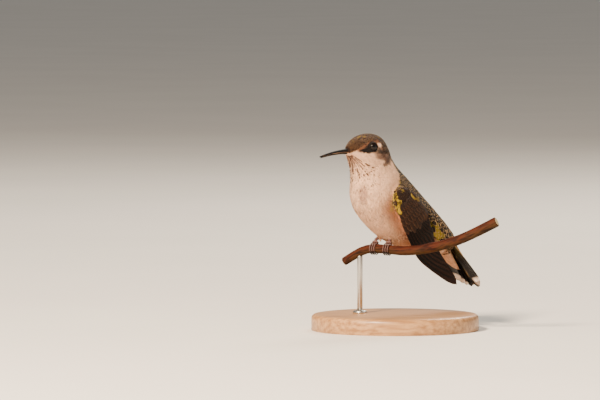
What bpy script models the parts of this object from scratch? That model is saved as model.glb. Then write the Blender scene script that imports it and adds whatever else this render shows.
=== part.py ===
"""A hummingbird at life size, perched on a short length of plant stem above a plain display stand.

The bird is drawn facing -X in its own frame, with its left side towards -Y, and an empty then turns
it about the vertical. The stem and the stand are drawn in the stand's frame, whose origin is at the
middle of the base's underside. The sizes below are in millimetres.
"""
import math

import bmesh
import bpy
import numpy as np
from mathutils import Matrix, Vector

MM = 0.001
GAP = 0.3              # clearance between neighbouring solids
FINE_GAP = 0.18        # clearance between the smallest pieces
BODY_AROUND = 26       # facets round the body

# The bird as a whole.
BIRD_TURN = math.radians(32.5)     # how far the body is turned about the vertical
HEAD_TURN = math.radians(10.5)     # how much further the head is turned
NECK_PIVOT = -10.0                 # where the head turns, along the body
HEAD_WAY = 0.42                    # share of the body behind which the turn has died away

# Body rings: back line x and z, belly line x and z, half width.
BODY = np.array([
    (-23.5, 67.9, -22.7, 65.7, 1.2),       # bill base
    (-21.6, 69.9, -21.3, 64.4, 2.7),       # face
    (-17.9, 72.1, -19.9, 62.7, 4.7),       # brow
    (-12.4, 73.2, -18.7, 60.6, 6.2),       # crown
    (-7.2, 71.9, -18.3, 58.2, 6.8),        # hind crown
    (-4.1, 68.1, -18.3, 55.8, 7.0),        # nape
    (-2.7, 64.2, -18.4, 53.0, 7.8),        # neck
    (0.1, 60.3, -18.1, 49.6, 9.3),         # shoulder
    (4.8, 55.7, -16.5, 45.1, 10.7),        # chest
    (10.8, 49.7, -12.9, 40.3, 11.1),       # back
    (17.0, 43.7, -7.6, 35.5, 10.3),        # loin
    (22.2, 38.6, -0.4, 31.4, 8.3),         # rump
    (25.6, 34.4, 8.8, 28.8, 5.9),          # vent
    (27.4, 30.6, 17.2, 27.6, 3.6),         # tail root
])
LOW_WIDTH = 0.10                   # how much fuller the sides are below the middle
HEAD_RINGS = (0.0, 0.372)          # the body's parts, as shares of its length
NECK_RINGS = (0.382, 0.5)
TRUNK_RINGS = (0.51, 0.86)
RUMP_RINGS = (0.872, 1.0)

EYE_RADIUS = 1.75
EYE_PLACE = (-14.5, 68.4)          # x and z in the head
EYE_DEPTH = 1.15                   # centre below the feathered surface

BILL_TIP = (-36.6, 65.0)
BILL_ARCH = 0.35                   # rise of the middle above the straight line
BILL_BASE_HALF = (0.95, 0.95)      # half height and half width of the closed bill
BILL_TIP_HALF = (0.30, 0.28)
LOWER_SHARE = 0.96                 # length of the lower half against the upper
BILL_GAP = 0.12                    # between the halves

# Folded wings: an axis from the shoulder to the tip, and the edges on each side of it.
SHOULDER = Vector((-6.6, -9.2, 52.6))
WING_TIP = Vector((23.0, -6.8, 16.5))
WING_LIFT = math.radians(8)        # the right wing is carried this much higher
WING_TUCK = 0.6                    # share of its belly edge that the right wing shows
WING_BELLY_EDGE = ((0, 1.3), (0.04, 3.4), (0.1, 4.9), (0.25, 6.3), (0.42, 7.4), (0.52, 8.5),
                   (0.6, 8.2), (0.7, 6.9), (0.8, 5.2), (0.9, 3.5), (0.97, 1.9), (1, 0.6))
WING_BACK_EDGE = ((0, 1.5), (0.04, 3.9), (0.1, 5.3), (0.2, 5.6), (0.36, 5.4), (0.44, 4.2), (0.52, 2.4),
                  (0.64, 1.2), (0.8, 1.0), (0.92, 1.0), (1, 0.5))
WING_STEPS = 9                     # flight feather tips that show along the back edge
WING_STEP_DEPTH = 0.55
WING_THICK = (1.4, 0.6)            # at the shoulder and at the tip
WING_LEAN = 0.22                   # how much the wing leans in towards the back
COVERT_SHARE = 0.40                # share of the wing that the coverts hide

# Tail: ten feathers in a narrow fan, the middle pair on top.
TAIL_ROOT = Vector((20.8, 0, 38.6))
TAIL_TIP = Vector((36.4, 0, 15.8))
TAIL_PAIRS = 5
TAIL_SPREAD = math.radians(3.5)    # between neighbouring feathers
TAIL_LAYER = 0.68                  # each pair lies this much lower than the one inside it
FEATHER_HALF = 2.1                 # half width of a tail feather
FEATHER_THICK = 0.5
TAIL_SHORTENING = (0.0, -0.02, 0.0, 0.03, 0.07)    # of each pair from the middle out
COVERT_LENGTH = 14.5               # undertail coverts, from the vent

# Perch: a cut length of stem, left end first.
STEM_ROUTE = (Vector((-18.7, 6.6, 25.0)), Vector((-11.1, 1.8, 29.6)), Vector((-3.7, -4.0, 30.2)),
              Vector((3.7, -9.2, 29.9)), Vector((13.0, -14.2, 31.3)), Vector((24.1, -18.8, 34.9)),
              Vector((36.8, -22.8, 41.4)))
STEM_RADIUS = (1.55, 1.85)         # at the left and the right end
FOOT_X = {"right": -7.3, "left": -2.5}
TOE_RADIUS = 0.4
TOE_PITCH = 0.98
FRONT_TOE = (-12, 112)             # degrees round the stem from its top, towards the front
HIND_TOE = (-34, -118)
CLAW_SWEEP = 46
CLAW_RADIUS = (0.3, 0.12)
SHANK_RADIUS = 0.5
SHANK_REACH = Vector((5.2, 0, 3.4))    # from the foot back and up to the knee
KNEE_SPREAD = 0.6                    # how far each knee stands out from its foot
ANKLE_BEND = (0.35, 0.3)             # share of the way up the shank, and how far it sags there
KNEE_SWELL = 1.15                    # radius at the knee over the radius at the foot

BASE_RADIUS = 31.0
BASE_HEIGHT = 6.0
BASE_BEVEL = 1.0
ROD_RADIUS = 1.0
ROD_X = -13.0


def clear_scene():
    for item in list(bpy.data.objects):
        bpy.data.objects.remove(item)


def material(name, colour, roughness, metallic=0.0):
    """A Principled material; colour is linear red, green and blue."""
    made = bpy.data.materials.new(name)
    made.use_nodes = True
    shader = made.node_tree.nodes["Principled BSDF"]
    shader.inputs["Base Color"].default_value = (*colour, 1)
    shader.inputs["Roughness"].default_value = roughness
    shader.inputs["Metallic"].default_value = metallic
    made.diffuse_color = (*colour, 1)
    return made


def add_object(name, mesh, colouring=None, parent=None):
    """Turn a bmesh in millimetres into an object in metres, smooth except at real edges."""
    bmesh.ops.scale(mesh, verts=mesh.verts, vec=(MM, MM, MM))
    bmesh.ops.recalc_face_normals(mesh, faces=mesh.faces)
    data = bpy.data.meshes.new(name)
    mesh.to_mesh(data)
    mesh.free()
    data.shade_smooth()
    data.set_sharp_from_angle(angle=math.radians(40))
    if colouring:
        data.materials.append(colouring)
    item = bpy.data.objects.new(name, data)
    bpy.context.collection.objects.link(item)
    item.parent = parent
    return item


def make_guide(item):
    """A cutter: seen as a wire and never part of the model."""
    item.hide_render = True
    item.display_type = "WIRE"
    return item


def cut(item, *cutters):
    for cutter in cutters:
        step = item.modifiers.new("cut by " + cutter.name, "BOOLEAN")
        step.operation = "DIFFERENCE"
        step.solver = "EXACT"
        step.object = cutter


def wrap(surface, around, along, start=0.0, end=1.0):
    """A closed solid: a grid wrapped round surface(angle, way), its two ends filled.

    angle runs once round from 0 to 1, and way runs from start to end.
    """
    mesh = bmesh.new()
    bmesh.ops.create_grid(mesh, x_segments=around, y_segments=along, size=1)
    for corner in mesh.verts:
        angle = (corner.co.x + 1) / 2
        way = start + (end - start) * (corner.co.y + 1) / 2
        corner.co = surface(angle % 1.0 if angle < 0.9999 else 0.0, way)
    bmesh.ops.remove_doubles(mesh, verts=mesh.verts, dist=0.002)
    rim = [edge for edge in mesh.edges if edge.is_boundary]
    bmesh.ops.holes_fill(mesh, edges=rim, sides=0)
    return mesh


def smooth_value(rows, way):
    """The smooth curve through evenly spaced rows, way from 0 to 1."""
    last = len(rows) - 1
    place = min(max(way, 0.0), 1.0) * last
    first = min(int(place), last - 1)
    part = place - first
    before, here, after, beyond = (rows[min(max(first + step, 0), last)] for step in (-1, 0, 1, 2))
    return 0.5 * (2 * here + (after - before) * part
                  + (2 * before - 5 * here + 4 * after - beyond) * part ** 2
                  + (3 * here - before - 3 * after + beyond) * part ** 3)


def ease(value):
    value = min(max(value, 0.0), 1.0)
    return value * value * (3 - 2 * value)


# ---- body ----

def turn_head(point, way=0.0):
    """Turn a point of the head or neck about the neck's pivot; the turn dies away along the neck."""
    angle = HEAD_TURN * ease(1 - way / HEAD_WAY) if way else HEAD_TURN
    pivot = Vector((NECK_PIVOT, 0, 0))
    return pivot + Matrix.Rotation(angle, 3, "Z") @ (point - pivot)


def body_surface(angle, way, grow=0.0):
    """A point of the body's surface; angle 0 is the back line, way 0 is the bill base."""
    back_x, back_z, belly_x, belly_z, half_width = smooth_value(BODY, way)
    middle = Vector(((back_x + belly_x) / 2, 0, (back_z + belly_z) / 2))
    rise = Vector(((back_x - belly_x) / 2, 0, (back_z - belly_z) / 2))
    rise *= 1 + grow / rise.length
    turn = math.tau * angle
    side = (half_width + grow) * math.sin(turn) * (1 - LOW_WIDTH * math.cos(turn))
    point = middle + rise * math.cos(turn) + Vector((0, side, 0))
    return turn_head(point, max(way, 0.001))


def flank(x, z):
    """Half width of the body at a place of its middle plane, and 0 outside its outline."""
    low, high = 0.0, 1.0
    for _ in range(30):
        way = (low + high) / 2
        back_x, back_z, belly_x, belly_z, half_width = smooth_value(BODY, way)
        behind = (x - belly_x) * (back_z - belly_z) - (z - belly_z) * (back_x - belly_x)
        low, high = (way, high) if behind > 0 else (low, way)
    rise = Vector(((back_x - belly_x) / 2, (back_z - belly_z) / 2))
    offset = Vector((x - (back_x + belly_x) / 2, z - (back_z + belly_z) / 2))
    share = offset.dot(rise) / rise.length_squared
    if abs(share) >= 1 or way < 0.001 or way > 0.999:
        return 0.0
    return half_width * math.sqrt(1 - share * share) * (1 - LOW_WIDTH * share)


def body_part(name, rings, along, colouring, parent):
    mesh = wrap(body_surface, BODY_AROUND, along, *rings)
    return add_object(name, mesh, colouring, parent)


def body_guide(parent, rings, along):
    """The body grown by the clearance, to trim what meets it."""
    def grown(angle, way):
        return body_surface(angle, way, GAP)
    return make_guide(add_object("body_guide", wrap(grown, BODY_AROUND, along, *rings), None, parent))


# ---- head ----

def eye_centre(side):
    x, z = EYE_PLACE
    return turn_head(Vector((x, side * (flank(x, z) - EYE_DEPTH), z)))


def ball(centre, radius):
    mesh = bmesh.new()
    bmesh.ops.create_icosphere(mesh, subdivisions=2, radius=radius)
    bmesh.ops.translate(mesh, verts=mesh.verts, vec=centre)
    return mesh


def bill_half(name, upper, colouring, parent):
    """One half of the bill: flat where the halves meet, round outside, bent slightly down."""
    back_x, back_z, belly_x, belly_z, _ = BODY[0]
    base = Vector(((back_x + belly_x) / 2 - GAP, 0, (back_z + belly_z) / 2))
    tip = Vector((BILL_TIP[0], 0, BILL_TIP[1]))
    length = 1.0 if upper else LOWER_SHARE
    sign = 1 if upper else -1

    def surface(angle, way):
        reach = way * length
        middle = base.lerp(tip, reach)
        middle.z += BILL_ARCH * 4 * reach * (1 - reach)
        half_high = BILL_BASE_HALF[0] + (BILL_TIP_HALF[0] - BILL_BASE_HALF[0]) * reach ** 0.75
        half_wide = BILL_BASE_HALF[1] + (BILL_TIP_HALF[1] - BILL_BASE_HALF[1]) * reach ** 0.75
        turn = math.tau * angle
        lift = max(sign * math.sin(turn), 0) * half_high + BILL_GAP / 2
        return turn_head(middle + Vector((0, half_wide * math.cos(turn), sign * lift)))

    def closed(angle, way):
        point = surface(angle, way)
        if sign * math.sin(math.tau * angle) < 0:
            point = surface(0.5 - angle if angle <= 0.5 else 1.5 - angle, way)
            flat = surface(0.0, way)
            point.z = flat.z
        return point

    return add_object(name, wrap(closed, 12, 8), colouring, parent)


# ---- wings ----

def edge_value(rows, way):
    places, values = zip(*rows)
    return float(np.interp(way, places, values))


def wing_surface(angle, way, side):
    """A folded wing: a thin blade that lies against the flank, feather tips along its back edge."""
    length = (WING_TIP - SHOULDER).length
    down = (WING_TIP - SHOULDER).normalized()
    back = Vector((-down.z, 0, down.x)).normalized()
    if side > 0:
        lift = Matrix.Rotation(-WING_LIFT, 3, "Y")
        down, back = lift @ down, lift @ back
    step = WING_STEP_DEPTH * ((way * WING_STEPS) % 1.0) * ease((way - 0.4) / 0.1)
    front_edge = -edge_value(WING_BELLY_EDGE, way) * (WING_TUCK if side > 0 else 1.0)
    back_edge = edge_value(WING_BACK_EDGE, way) + step * (1 - way) * 1.6
    turn = math.tau * angle
    across = (1 - math.cos(turn)) / 2
    chord = front_edge + (back_edge - front_edge) * across
    place = SHOULDER + down * length * way + back * chord
    thick = WING_THICK[0] + (WING_THICK[1] - WING_THICK[0]) * way
    planned = abs(place.y) - WING_LEAN * chord * (1 - way)
    inner = max(planned, flank(place.x, place.z) + GAP)
    outside = thick * (0.5 + 0.5 * math.sqrt(max(math.sin(turn), 0)))
    place.y = side * (inner + (outside if math.sin(turn) > 0 else 0.0))
    return place


def wing(side_name, side, coverts, flight, parent):
    def surface(angle, way):
        return wing_surface(angle, way, side)
    cut_at = COVERT_SHARE
    gap = GAP / (WING_TIP - SHOULDER).length
    add_object("wing_" + side_name, wrap(surface, 14, 10, 0, cut_at), coverts, parent)
    blade = wrap(surface, 12, 27, cut_at + gap, 1)
    add_object("wing_" + side_name + "_primaries", blade, flight, parent)


# ---- tail ----

def tail_feather(name, pair, side, colouring, parent, guide):
    """A long blade with a rounded tip, turned out from the tail's root and lowered by its layer."""
    length = (TAIL_TIP - TAIL_ROOT).length * (1 - TAIL_SHORTENING[pair])
    down = (TAIL_TIP - TAIL_ROOT).normalized()
    under = Vector((down.z, 0, -down.x))
    across = Vector((0, 1, 0))
    spread = TAIL_SPREAD * (pair + 0.5) * side
    run = down * math.cos(spread) + across * math.sin(spread)
    width = across * math.cos(spread) - down * math.sin(spread)
    root = TAIL_ROOT + under * TAIL_LAYER * pair

    def surface(angle, way):
        half = FEATHER_HALF * (0.55 + 0.45 * ease(way * 2.5))
        half *= math.sqrt(1 - 0.92 * max((way - 0.8) / 0.2, 0) ** 2)
        turn = math.tau * angle
        level = FEATHER_THICK / 2 * (1 if math.sin(turn) > 0 else -1)
        if abs(math.sin(turn)) < 0.01:
            level = 0
        place = root + run * length * way + width * half * math.cos(turn) + under * level
        place.y = side * max(side * place.y, FINE_GAP / 2)
        return place

    item = add_object(name, wrap(surface, 8, 9), colouring, parent)
    cut(item, guide)
    return item


def undertail(colouring, parent, guide):
    """The soft wedge of feathers under the tail's root, drawn out to a blunt point."""
    down = (TAIL_TIP - TAIL_ROOT).normalized()
    under = Vector((down.z, 0, -down.x))
    clear = TAIL_LAYER * (TAIL_PAIRS - 1) + FEATHER_THICK / 2 + FINE_GAP
    start = TAIL_ROOT + down * 4.0

    def surface(angle, way):
        half_deep = 2.4 * (1 - way) ** 0.7 + 0.35
        half_wide = 4.2 * (1 - way) ** 0.6 + 0.5
        turn = math.tau * angle
        middle = start + down * COVERT_LENGTH * way + under * (clear + half_deep)
        return middle + under * half_deep * math.cos(turn) + Vector((0, half_wide * math.sin(turn), 0))

    item = add_object("undertail_coverts", wrap(surface, 14, 8), colouring, parent)
    cut(item, guide)
    return item


# ---- perch, feet and stand ----

def stem_place(way):
    """A point of the stem's middle line, and the direction it runs in."""
    rows = np.array([tuple(point) for point in STEM_ROUTE])
    here = Vector(smooth_value(rows, way))
    ahead = Vector(smooth_value(rows, min(way + 0.01, 1.0)))
    behind = Vector(smooth_value(rows, max(way - 0.01, 0.0)))
    return here, (ahead - behind).normalized()


def stem_way_at(x):
    low, high = 0.0, 1.0
    for _ in range(30):
        middle = (low + high) / 2
        low, high = (middle, high) if stem_place(middle)[0].x < x else (low, middle)
    return low


def stem_radius(way):
    return STEM_RADIUS[0] + (STEM_RADIUS[1] - STEM_RADIUS[0]) * way


def stem_axes(way):
    """A place on the stem's middle line, its run, and the up and front directions square to it."""
    here, run = stem_place(way)
    up = (Vector((0, 0, 1)) - run * run.z).normalized()
    return here, run, up, run.cross(up)


def stem_mesh(grow=0.0, around=12, along=22, start=0.0, end=1.0):
    def surface(angle, way):
        here, _, up, front = stem_axes(way)
        turn = math.tau * angle
        return here + (up * math.cos(turn) + front * math.sin(turn)) * (stem_radius(way) + grow)
    return wrap(surface, around, along, start, end)


def tube(points, radii, around):
    """A tapered tube through a few points, its sides square to the middle line."""
    points = [Vector(point) for point in points]

    def surface(angle, way):
        place = way * (len(points) - 1)
        first = min(int(place), len(points) - 2)
        here = points[first].lerp(points[first + 1], place - first)
        run = (points[first + 1] - points[first]).normalized()
        if 0 < first and place == first:
            run = (points[first + 1] - points[first - 1]).normalized()
        across = run.orthogonal() if abs(run.z) > 0.95 else run.cross(Vector((0, 0, 1)))
        across.normalize()
        radius = radii[0] + (radii[1] - radii[0]) * way
        turn = math.tau * angle
        return here + (across * math.cos(turn) + run.cross(across) * math.sin(turn)) * radius

    return wrap(surface, around, len(points) - 1)


def toe_arc(foot_way, shift, start, end, radii, bends):
    """A tube bent round the stem from one angle to another, in degrees from the stem's top."""
    here, run, up, front = stem_axes(foot_way)
    reach = stem_radius(foot_way) + FINE_GAP + TOE_RADIUS

    def surface(angle, way):
        swing = math.radians(start + (end - start) * way)
        outward = up * math.cos(swing) + front * math.sin(swing)
        turn = math.tau * angle
        radius = radii[0] + (radii[1] - radii[0]) * way
        return (here + run * shift + outward * (reach + radius * math.cos(turn))
                + run * radius * math.sin(turn))

    return wrap(surface, 6, bends)


def foot(side_name, skin, horn):
    """Three toes over the front of the stem and one behind it, each with its claw."""
    way = stem_way_at(FOOT_X[side_name])
    gap = math.degrees(FINE_GAP / stem_radius(way))
    digits = [(str(number + 2), (number - 1) * TOE_PITCH, FRONT_TOE) for number in range(3)]
    digits.append(("1", 0.0, HIND_TOE))
    for digit, shift, (start, end) in digits:
        name = "toe_" + side_name + "_" + digit
        onward = 1 if end > start else -1
        toe = toe_arc(way, shift, start, end, (TOE_RADIUS, TOE_RADIUS * 0.72), 7)
        add_object(name, toe, skin)
        begin = end + onward * gap
        claw = toe_arc(way, shift, begin, begin + onward * CLAW_SWEEP, CLAW_RADIUS, 4)
        add_object(name.replace("toe", "claw"), claw, horn)


def leg_mesh(side_name, side, grow=0.0):
    """The bare shank, from just above the toes back into the belly feathers."""
    way = stem_way_at(FOOT_X[side_name])
    here, _, up, _ = stem_axes(way)
    rise = stem_radius(way) + 2 * TOE_RADIUS + 2 * FINE_GAP + SHANK_RADIUS
    ankle = here + up * rise
    turn = Matrix.Rotation(BIRD_TURN, 3, "Z")
    knee = ankle + turn @ (SHANK_REACH + Vector((0, side * KNEE_SPREAD, 0)))
    bend = ankle.lerp(knee, ANKLE_BEND[0]) - up * ANKLE_BEND[1]
    radii = (SHANK_RADIUS + grow, SHANK_RADIUS * KNEE_SWELL + grow)
    start = ankle - (knee - ankle).normalized() * grow
    end = knee + (knee - ankle).normalized() * grow
    return tube((start, bend, end), radii, 10)


def leg(side_name, side, skin, trunk):
    add_object("leg_" + side_name, leg_mesh(side_name, side), skin)
    tunnel = leg_mesh(side_name, side, FINE_GAP)
    cut(trunk, make_guide(add_object("leg_guide_" + side_name, tunnel)))


def stand(wood, metal):
    mesh = bmesh.new()
    lift = Matrix.Translation((0, 0, BASE_HEIGHT / 2))
    bmesh.ops.create_cone(mesh, cap_ends=True, segments=48, radius1=BASE_RADIUS,
                          radius2=BASE_RADIUS, depth=BASE_HEIGHT, matrix=lift)
    rims = [edge for edge in mesh.edges if len({round(v.co.z, 3) for v in edge.verts}) == 1]
    bmesh.ops.bevel(mesh, geom=rims, offset=BASE_BEVEL, segments=2, profile=0.5, affect="EDGES")
    add_object("stand_base", mesh, wood)
    top = stem_place(stem_way_at(ROD_X))[0]
    low = BASE_HEIGHT + FINE_GAP / 2
    mesh = bmesh.new()
    lift = Matrix.Translation((top.x, top.y, (low + top.z) / 2))
    bmesh.ops.create_cone(mesh, cap_ends=True, segments=16, radius1=ROD_RADIUS,
                          radius2=ROD_RADIUS, depth=top.z - low, matrix=lift)
    rod = add_object("stand_rod", mesh, metal)
    way = stem_way_at(ROD_X)
    saddle = stem_mesh(FINE_GAP / 2, 24, 8, way - 0.08, way + 0.08)
    cut(rod, make_guide(add_object("stem_guide", saddle)))


def build():
    clear_scene()
    bird = bpy.data.objects.new("bird", None)
    bpy.context.collection.objects.link(bird)
    bird.rotation_euler = (0, 0, BIRD_TURN)

    cap = material("crown feathers", (0.10, 0.065, 0.035), 0.7)
    bib = material("throat feathers", (0.66, 0.56, 0.50), 0.75)
    breast = material("breast feathers", (0.62, 0.50, 0.44), 0.75)
    rump = material("rump feathers", (0.16, 0.14, 0.05), 0.65)
    white = material("undertail feathers", (0.70, 0.62, 0.58), 0.75)
    covert = material("wing covert feathers", (0.10, 0.09, 0.04), 0.6)
    flight = material("flight feathers", (0.035, 0.025, 0.024), 0.55)
    tail = material("tail feathers", (0.06, 0.06, 0.045), 0.5)
    eye = material("eye", (0.006, 0.004, 0.004), 0.08)
    bill = material("bill horn", (0.012, 0.011, 0.012), 0.35)
    skin = material("leg skin", (0.22, 0.12, 0.12), 0.55)
    horn = material("claw horn", (0.015, 0.012, 0.012), 0.4)
    stem = material("stem bark", (0.28, 0.08, 0.045), 0.5)
    wood = material("beech", (0.52, 0.36, 0.21), 0.5)
    metal = material("steel rod", (0.55, 0.54, 0.52), 0.3, 1.0)

    guide = body_guide(bird, (0.0, 1.0), 40)
    toes_round = 2 * TOE_RADIUS + 2 * FINE_GAP
    perch_guide = make_guide(add_object("perch_guide", stem_mesh(toes_round, 20, 20, 0.1, 0.75)))

    head = body_part("head", HEAD_RINGS, 16, cap, bird)
    body_part("neck", NECK_RINGS, 5, bib, bird)
    trunk = body_part("trunk", TRUNK_RINGS, 14, breast, bird)
    cut(trunk, perch_guide)
    body_part("rump", RUMP_RINGS, 5, rump, bird)

    for side_name, side in (("left", -1), ("right", 1)):
        centre = eye_centre(side)
        add_object("eye_" + side_name, ball(centre, EYE_RADIUS), eye, bird)
        socket = ball(centre, EYE_RADIUS + FINE_GAP)
        cut(head, make_guide(add_object("socket_guide_" + side_name, socket, None, bird)))
        wing(side_name, side, covert, flight, bird)
        foot(side_name, skin, horn)
        leg(side_name, side, skin, trunk)
        for pair in range(TAIL_PAIRS):
            name = "tail_feather_" + side_name + "_" + str(pair + 1)
            tail_feather(name, pair, side, tail, bird, guide)

    bill_half("bill_upper", True, bill, bird)
    bill_half("bill_lower", False, bill, bird)
    undertail(white, bird, guide)
    add_object("perch_stem", stem_mesh(), stem)
    stand(wood, metal)


build()
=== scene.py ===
"""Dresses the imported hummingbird: skin, plumage, eyes, bill, feet, perch, stand and stage."""
import math

import bmesh
import bpy
import numpy as np
from mathutils import Matrix, Vector
from mathutils.bvhtree import BVHTree
from mathutils.kdtree import KDTree


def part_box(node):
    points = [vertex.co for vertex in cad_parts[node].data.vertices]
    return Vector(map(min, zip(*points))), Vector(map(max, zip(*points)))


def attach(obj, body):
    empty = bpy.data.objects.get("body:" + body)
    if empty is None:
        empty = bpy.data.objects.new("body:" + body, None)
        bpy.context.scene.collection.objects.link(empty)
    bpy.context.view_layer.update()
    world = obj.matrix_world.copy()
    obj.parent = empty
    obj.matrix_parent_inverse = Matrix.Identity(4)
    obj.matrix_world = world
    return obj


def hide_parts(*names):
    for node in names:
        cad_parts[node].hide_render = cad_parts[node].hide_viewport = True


bl_info = {
    "name": "Perched Hummingbird",
    "version": (1, 0, 0),
    "blender": (4, 5, 0),
    "location": "3D View > Sidebar > Hummingbird",
    "description": "Builds the plumage, eyes, bill, feet, perch and stand of a still hummingbird",
    "category": "Object",
}

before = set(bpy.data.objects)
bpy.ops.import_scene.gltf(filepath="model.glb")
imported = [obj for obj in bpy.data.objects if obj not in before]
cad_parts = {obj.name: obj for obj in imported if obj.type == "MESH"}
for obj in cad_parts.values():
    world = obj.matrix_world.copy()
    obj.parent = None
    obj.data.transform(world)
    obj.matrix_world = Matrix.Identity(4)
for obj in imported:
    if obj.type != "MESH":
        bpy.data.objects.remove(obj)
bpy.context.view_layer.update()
MM = 0.001
UP = np.array((0.0, 0.0, 1.0))
SIDES = (("left", 1), ("right", -1))
FLESH = ("head", "neck", "trunk", "rump", "undertail_coverts", "wing_left", "wing_right")
SKIN_NODES = FLESH + ("eye_left", "eye_right", "bill_upper", "bill_lower", "leg_left", "leg_right")
FIRST_WING = FLESH.index("wing_left")     # the coat's parts before it are head and body
COAT_UV = "OFBake"
PATCH = (0.003, 0.003)                    # a body feather's place in the coat's UV map
BODY_START, BODY_LENGTH = -42, 82         # where the unwrap starts along the body, and its length
SWELL = 0.2                               # mm that the skin's mesh starts outside the CAD solids
FUSING = {"skin": (0.32, SWELL, 3), "bill": (0.08, 0.1, 1), "toe": (0.07, -0.09, 2),
          "claw": (0.07, 0.08, 1), "shank": (0.09, 0.1, 3), "perch": (0.2, 0.05, 2)}
ROOT_TRIES = 200000                       # places tried for the roots of the body feathers
SKIN_SEED, COAT_SEED, WING_SEED = 5, 11, 31
FINE_VANE, BROAD_VANE = (2, 3), (4, 4)    # faces across and along a feather
FLIGHT_VANE, COVERT_VANE, TAIL_VANE = (6, 26), (4, 5), (6, 22)
LID_FEATHER = (0.36 * MM, 0.24 * MM)      # length and width
TOES = range(1, 5)
TAIL_PAIRS = range(1, 6)                  # from the middle of the tail outwards
FAN_PRESS = 0.35                          # how much of their spacing the tail feathers lose
TAIL_HIDDEN = 2.6 * MM                    # how far a tail feather starts inside the coverts
PRIMARIES = 10
SECONDARIES = 6
BLADE_ROOT = 6.0                          # where the flight feathers start, mm down the wing
COVERT_ROWS = ((9.6, 7.6, 1.35, 0.32), (7.8, 5.2, 1.2, 0.4),      # start, length, spacing
               (6.2, 3.9, 1.1, 0.46), (4.8, 3.0, 1.0, 0.5))       # and lift of a row, in mm
LINE_TURN = 10.5                          # degrees between two lines of streaks on the throat
LID_OPENING = 1.3 * MM
LID_RISE = 0.06 * MM
COAT_BREAKS = (-18, -15, -10, 0, 15)      # mm along the body, where the coat's pieces meet
MIX_A, MIX_B, MIX_OUT = 6, 7, 2           # colour sockets of the Mix node
VIEW_DISTANCE, VIEW_RISE, VIEW_LENS = 2.2, 3.0, 357.0      # metres, degrees up, millimetres
VIEW_ASIDE, VIEW_HEIGHT = -35.2 * MM, 48.1 * MM
LIGHTS = (("key_light", (-0.6, -1.0, 0.8), 0.3, 82.0, (1.0, 0.8, 0.6)),     # place from the bird,
          ("fill_light", (1.2, -0.3, 0.3), 0.9, 2.0, (0.97, 0.96, 1.0)),    # size, watts, colour
          ("rim_light", (0.35, 0.9, 0.8), 0.5, 12.0, (1.0, 0.92, 0.8)))


# ---- small helpers ----

def srgb(code):
    """Linear red, green and blue of an sRGB hex value."""
    parts = [int(code[place:place + 2], 16) / 255 for place in (1, 3, 5)]
    return tuple(c / 12.92 if c <= 0.04045 else ((c + 0.055) / 1.055) ** 2.4 for c in parts)


def unit(vectors):
    vectors = np.asarray(vectors, float)
    return vectors / np.maximum(np.linalg.norm(vectors, axis=-1, keepdims=True), 1e-12)


def ease(values, low, high):
    """0 below low, 1 above high, smooth between; it falls where low is above high."""
    share = np.clip((np.asarray(values, float) - low) / (high - low), 0, 1)
    return share * share * (3 - 2 * share)


def bump(values, low, high, soft):
    """1 between low and high, with soft edges."""
    return ease(values, low - soft, low + soft) * (1 - ease(values, high - soft, high + soft))


def points_of(*nodes):
    """Corners of CAD nodes, as an array in metres."""
    return np.array([v.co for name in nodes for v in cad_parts[name].data.vertices])


def middle_of(node):
    low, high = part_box(node)
    return np.array((low + high) / 2)


# ---- directions and landmarks of the bird, read from the frame ----

EYE_LEFT, EYE_RIGHT = middle_of("eye_left"), middle_of("eye_right")
EYES = ((EYE_LEFT, 1), (EYE_RIGHT, -1))
EYE_MIDDLE = (EYE_LEFT + EYE_RIGHT) / 2
EYE_RADIUS = float(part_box("eye_left")[1].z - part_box("eye_left")[0].z) / 2
HEAD_LEFT = unit((EYE_LEFT - EYE_RIGHT) * (1, 1, 0))
HEAD_FRONT = np.cross(HEAD_LEFT, UP)
TAIL_LEFT = middle_of("tail_feather_left_3")
TAIL_RIGHT = middle_of("tail_feather_right_3")
LEFT = unit((TAIL_LEFT - TAIL_RIGHT) * (1, 1, 0))
MIDPLANE = float(np.dot((TAIL_LEFT + TAIL_RIGHT) / 2, LEFT))
TRUNK = middle_of("trunk")
BILL_POINTS = points_of("bill_upper", "bill_lower")
BILL_BASE = BILL_POINTS[np.argsort(BILL_POINTS @ HEAD_FRONT)[:20]].mean(0)
DOWN = middle_of("rump") - middle_of("neck")
DOWN = unit(DOWN - LEFT * np.dot(DOWN, LEFT))      # along the trunk, from the neck to the tail
BACK = np.cross(LEFT, DOWN)                        # square to it, out of the bird's back
TAIL_DOWN = (TAIL_LEFT + TAIL_RIGHT) / 2 - middle_of("rump")
TAIL_DOWN = unit(TAIL_DOWN - LEFT * np.dot(TAIL_DOWN, LEFT))


def head_places(points):
    """Forward, sideways and up from the point between the eyes, in millimetres."""
    offset = (points - EYE_MIDDLE) / MM
    return offset @ HEAD_FRONT, np.abs(offset @ HEAD_LEFT), offset[:, 2]


def trunk_places(points):
    """Along, sideways and backward from the middle of the trunk, in millimetres."""
    offset = (points - TRUNK) / MM
    return offset @ DOWN, (points @ LEFT - MIDPLANE) / MM, offset @ BACK


def turn_from_back(sideways, back):
    """Degrees round the trunk: 0 on the line of the back, 180 on that of the belly."""
    return np.degrees(np.arctan2(np.abs(sideways), back))


def head_share(along):
    """1 on the head, 0 on the body, with a soft edge on the neck."""
    return 1 - ease(along, -18.5, -16.5)


def from_eyes(points):
    """Distance from the nearer eye's middle, in millimetres."""
    return np.minimum(np.linalg.norm(points - EYE_LEFT, axis=1),
                      np.linalg.norm(points - EYE_RIGHT, axis=1)) / MM


def from_bill_base(points):
    return np.linalg.norm(points - BILL_BASE, axis=1) / MM


def gaze_of(sign):
    """The direction in which an eye looks: sideways and a little forward."""
    return unit(HEAD_LEFT * sign + HEAD_FRONT * 0.42 + UP * 0.05)


# ---- colours of the plumage ----

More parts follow.
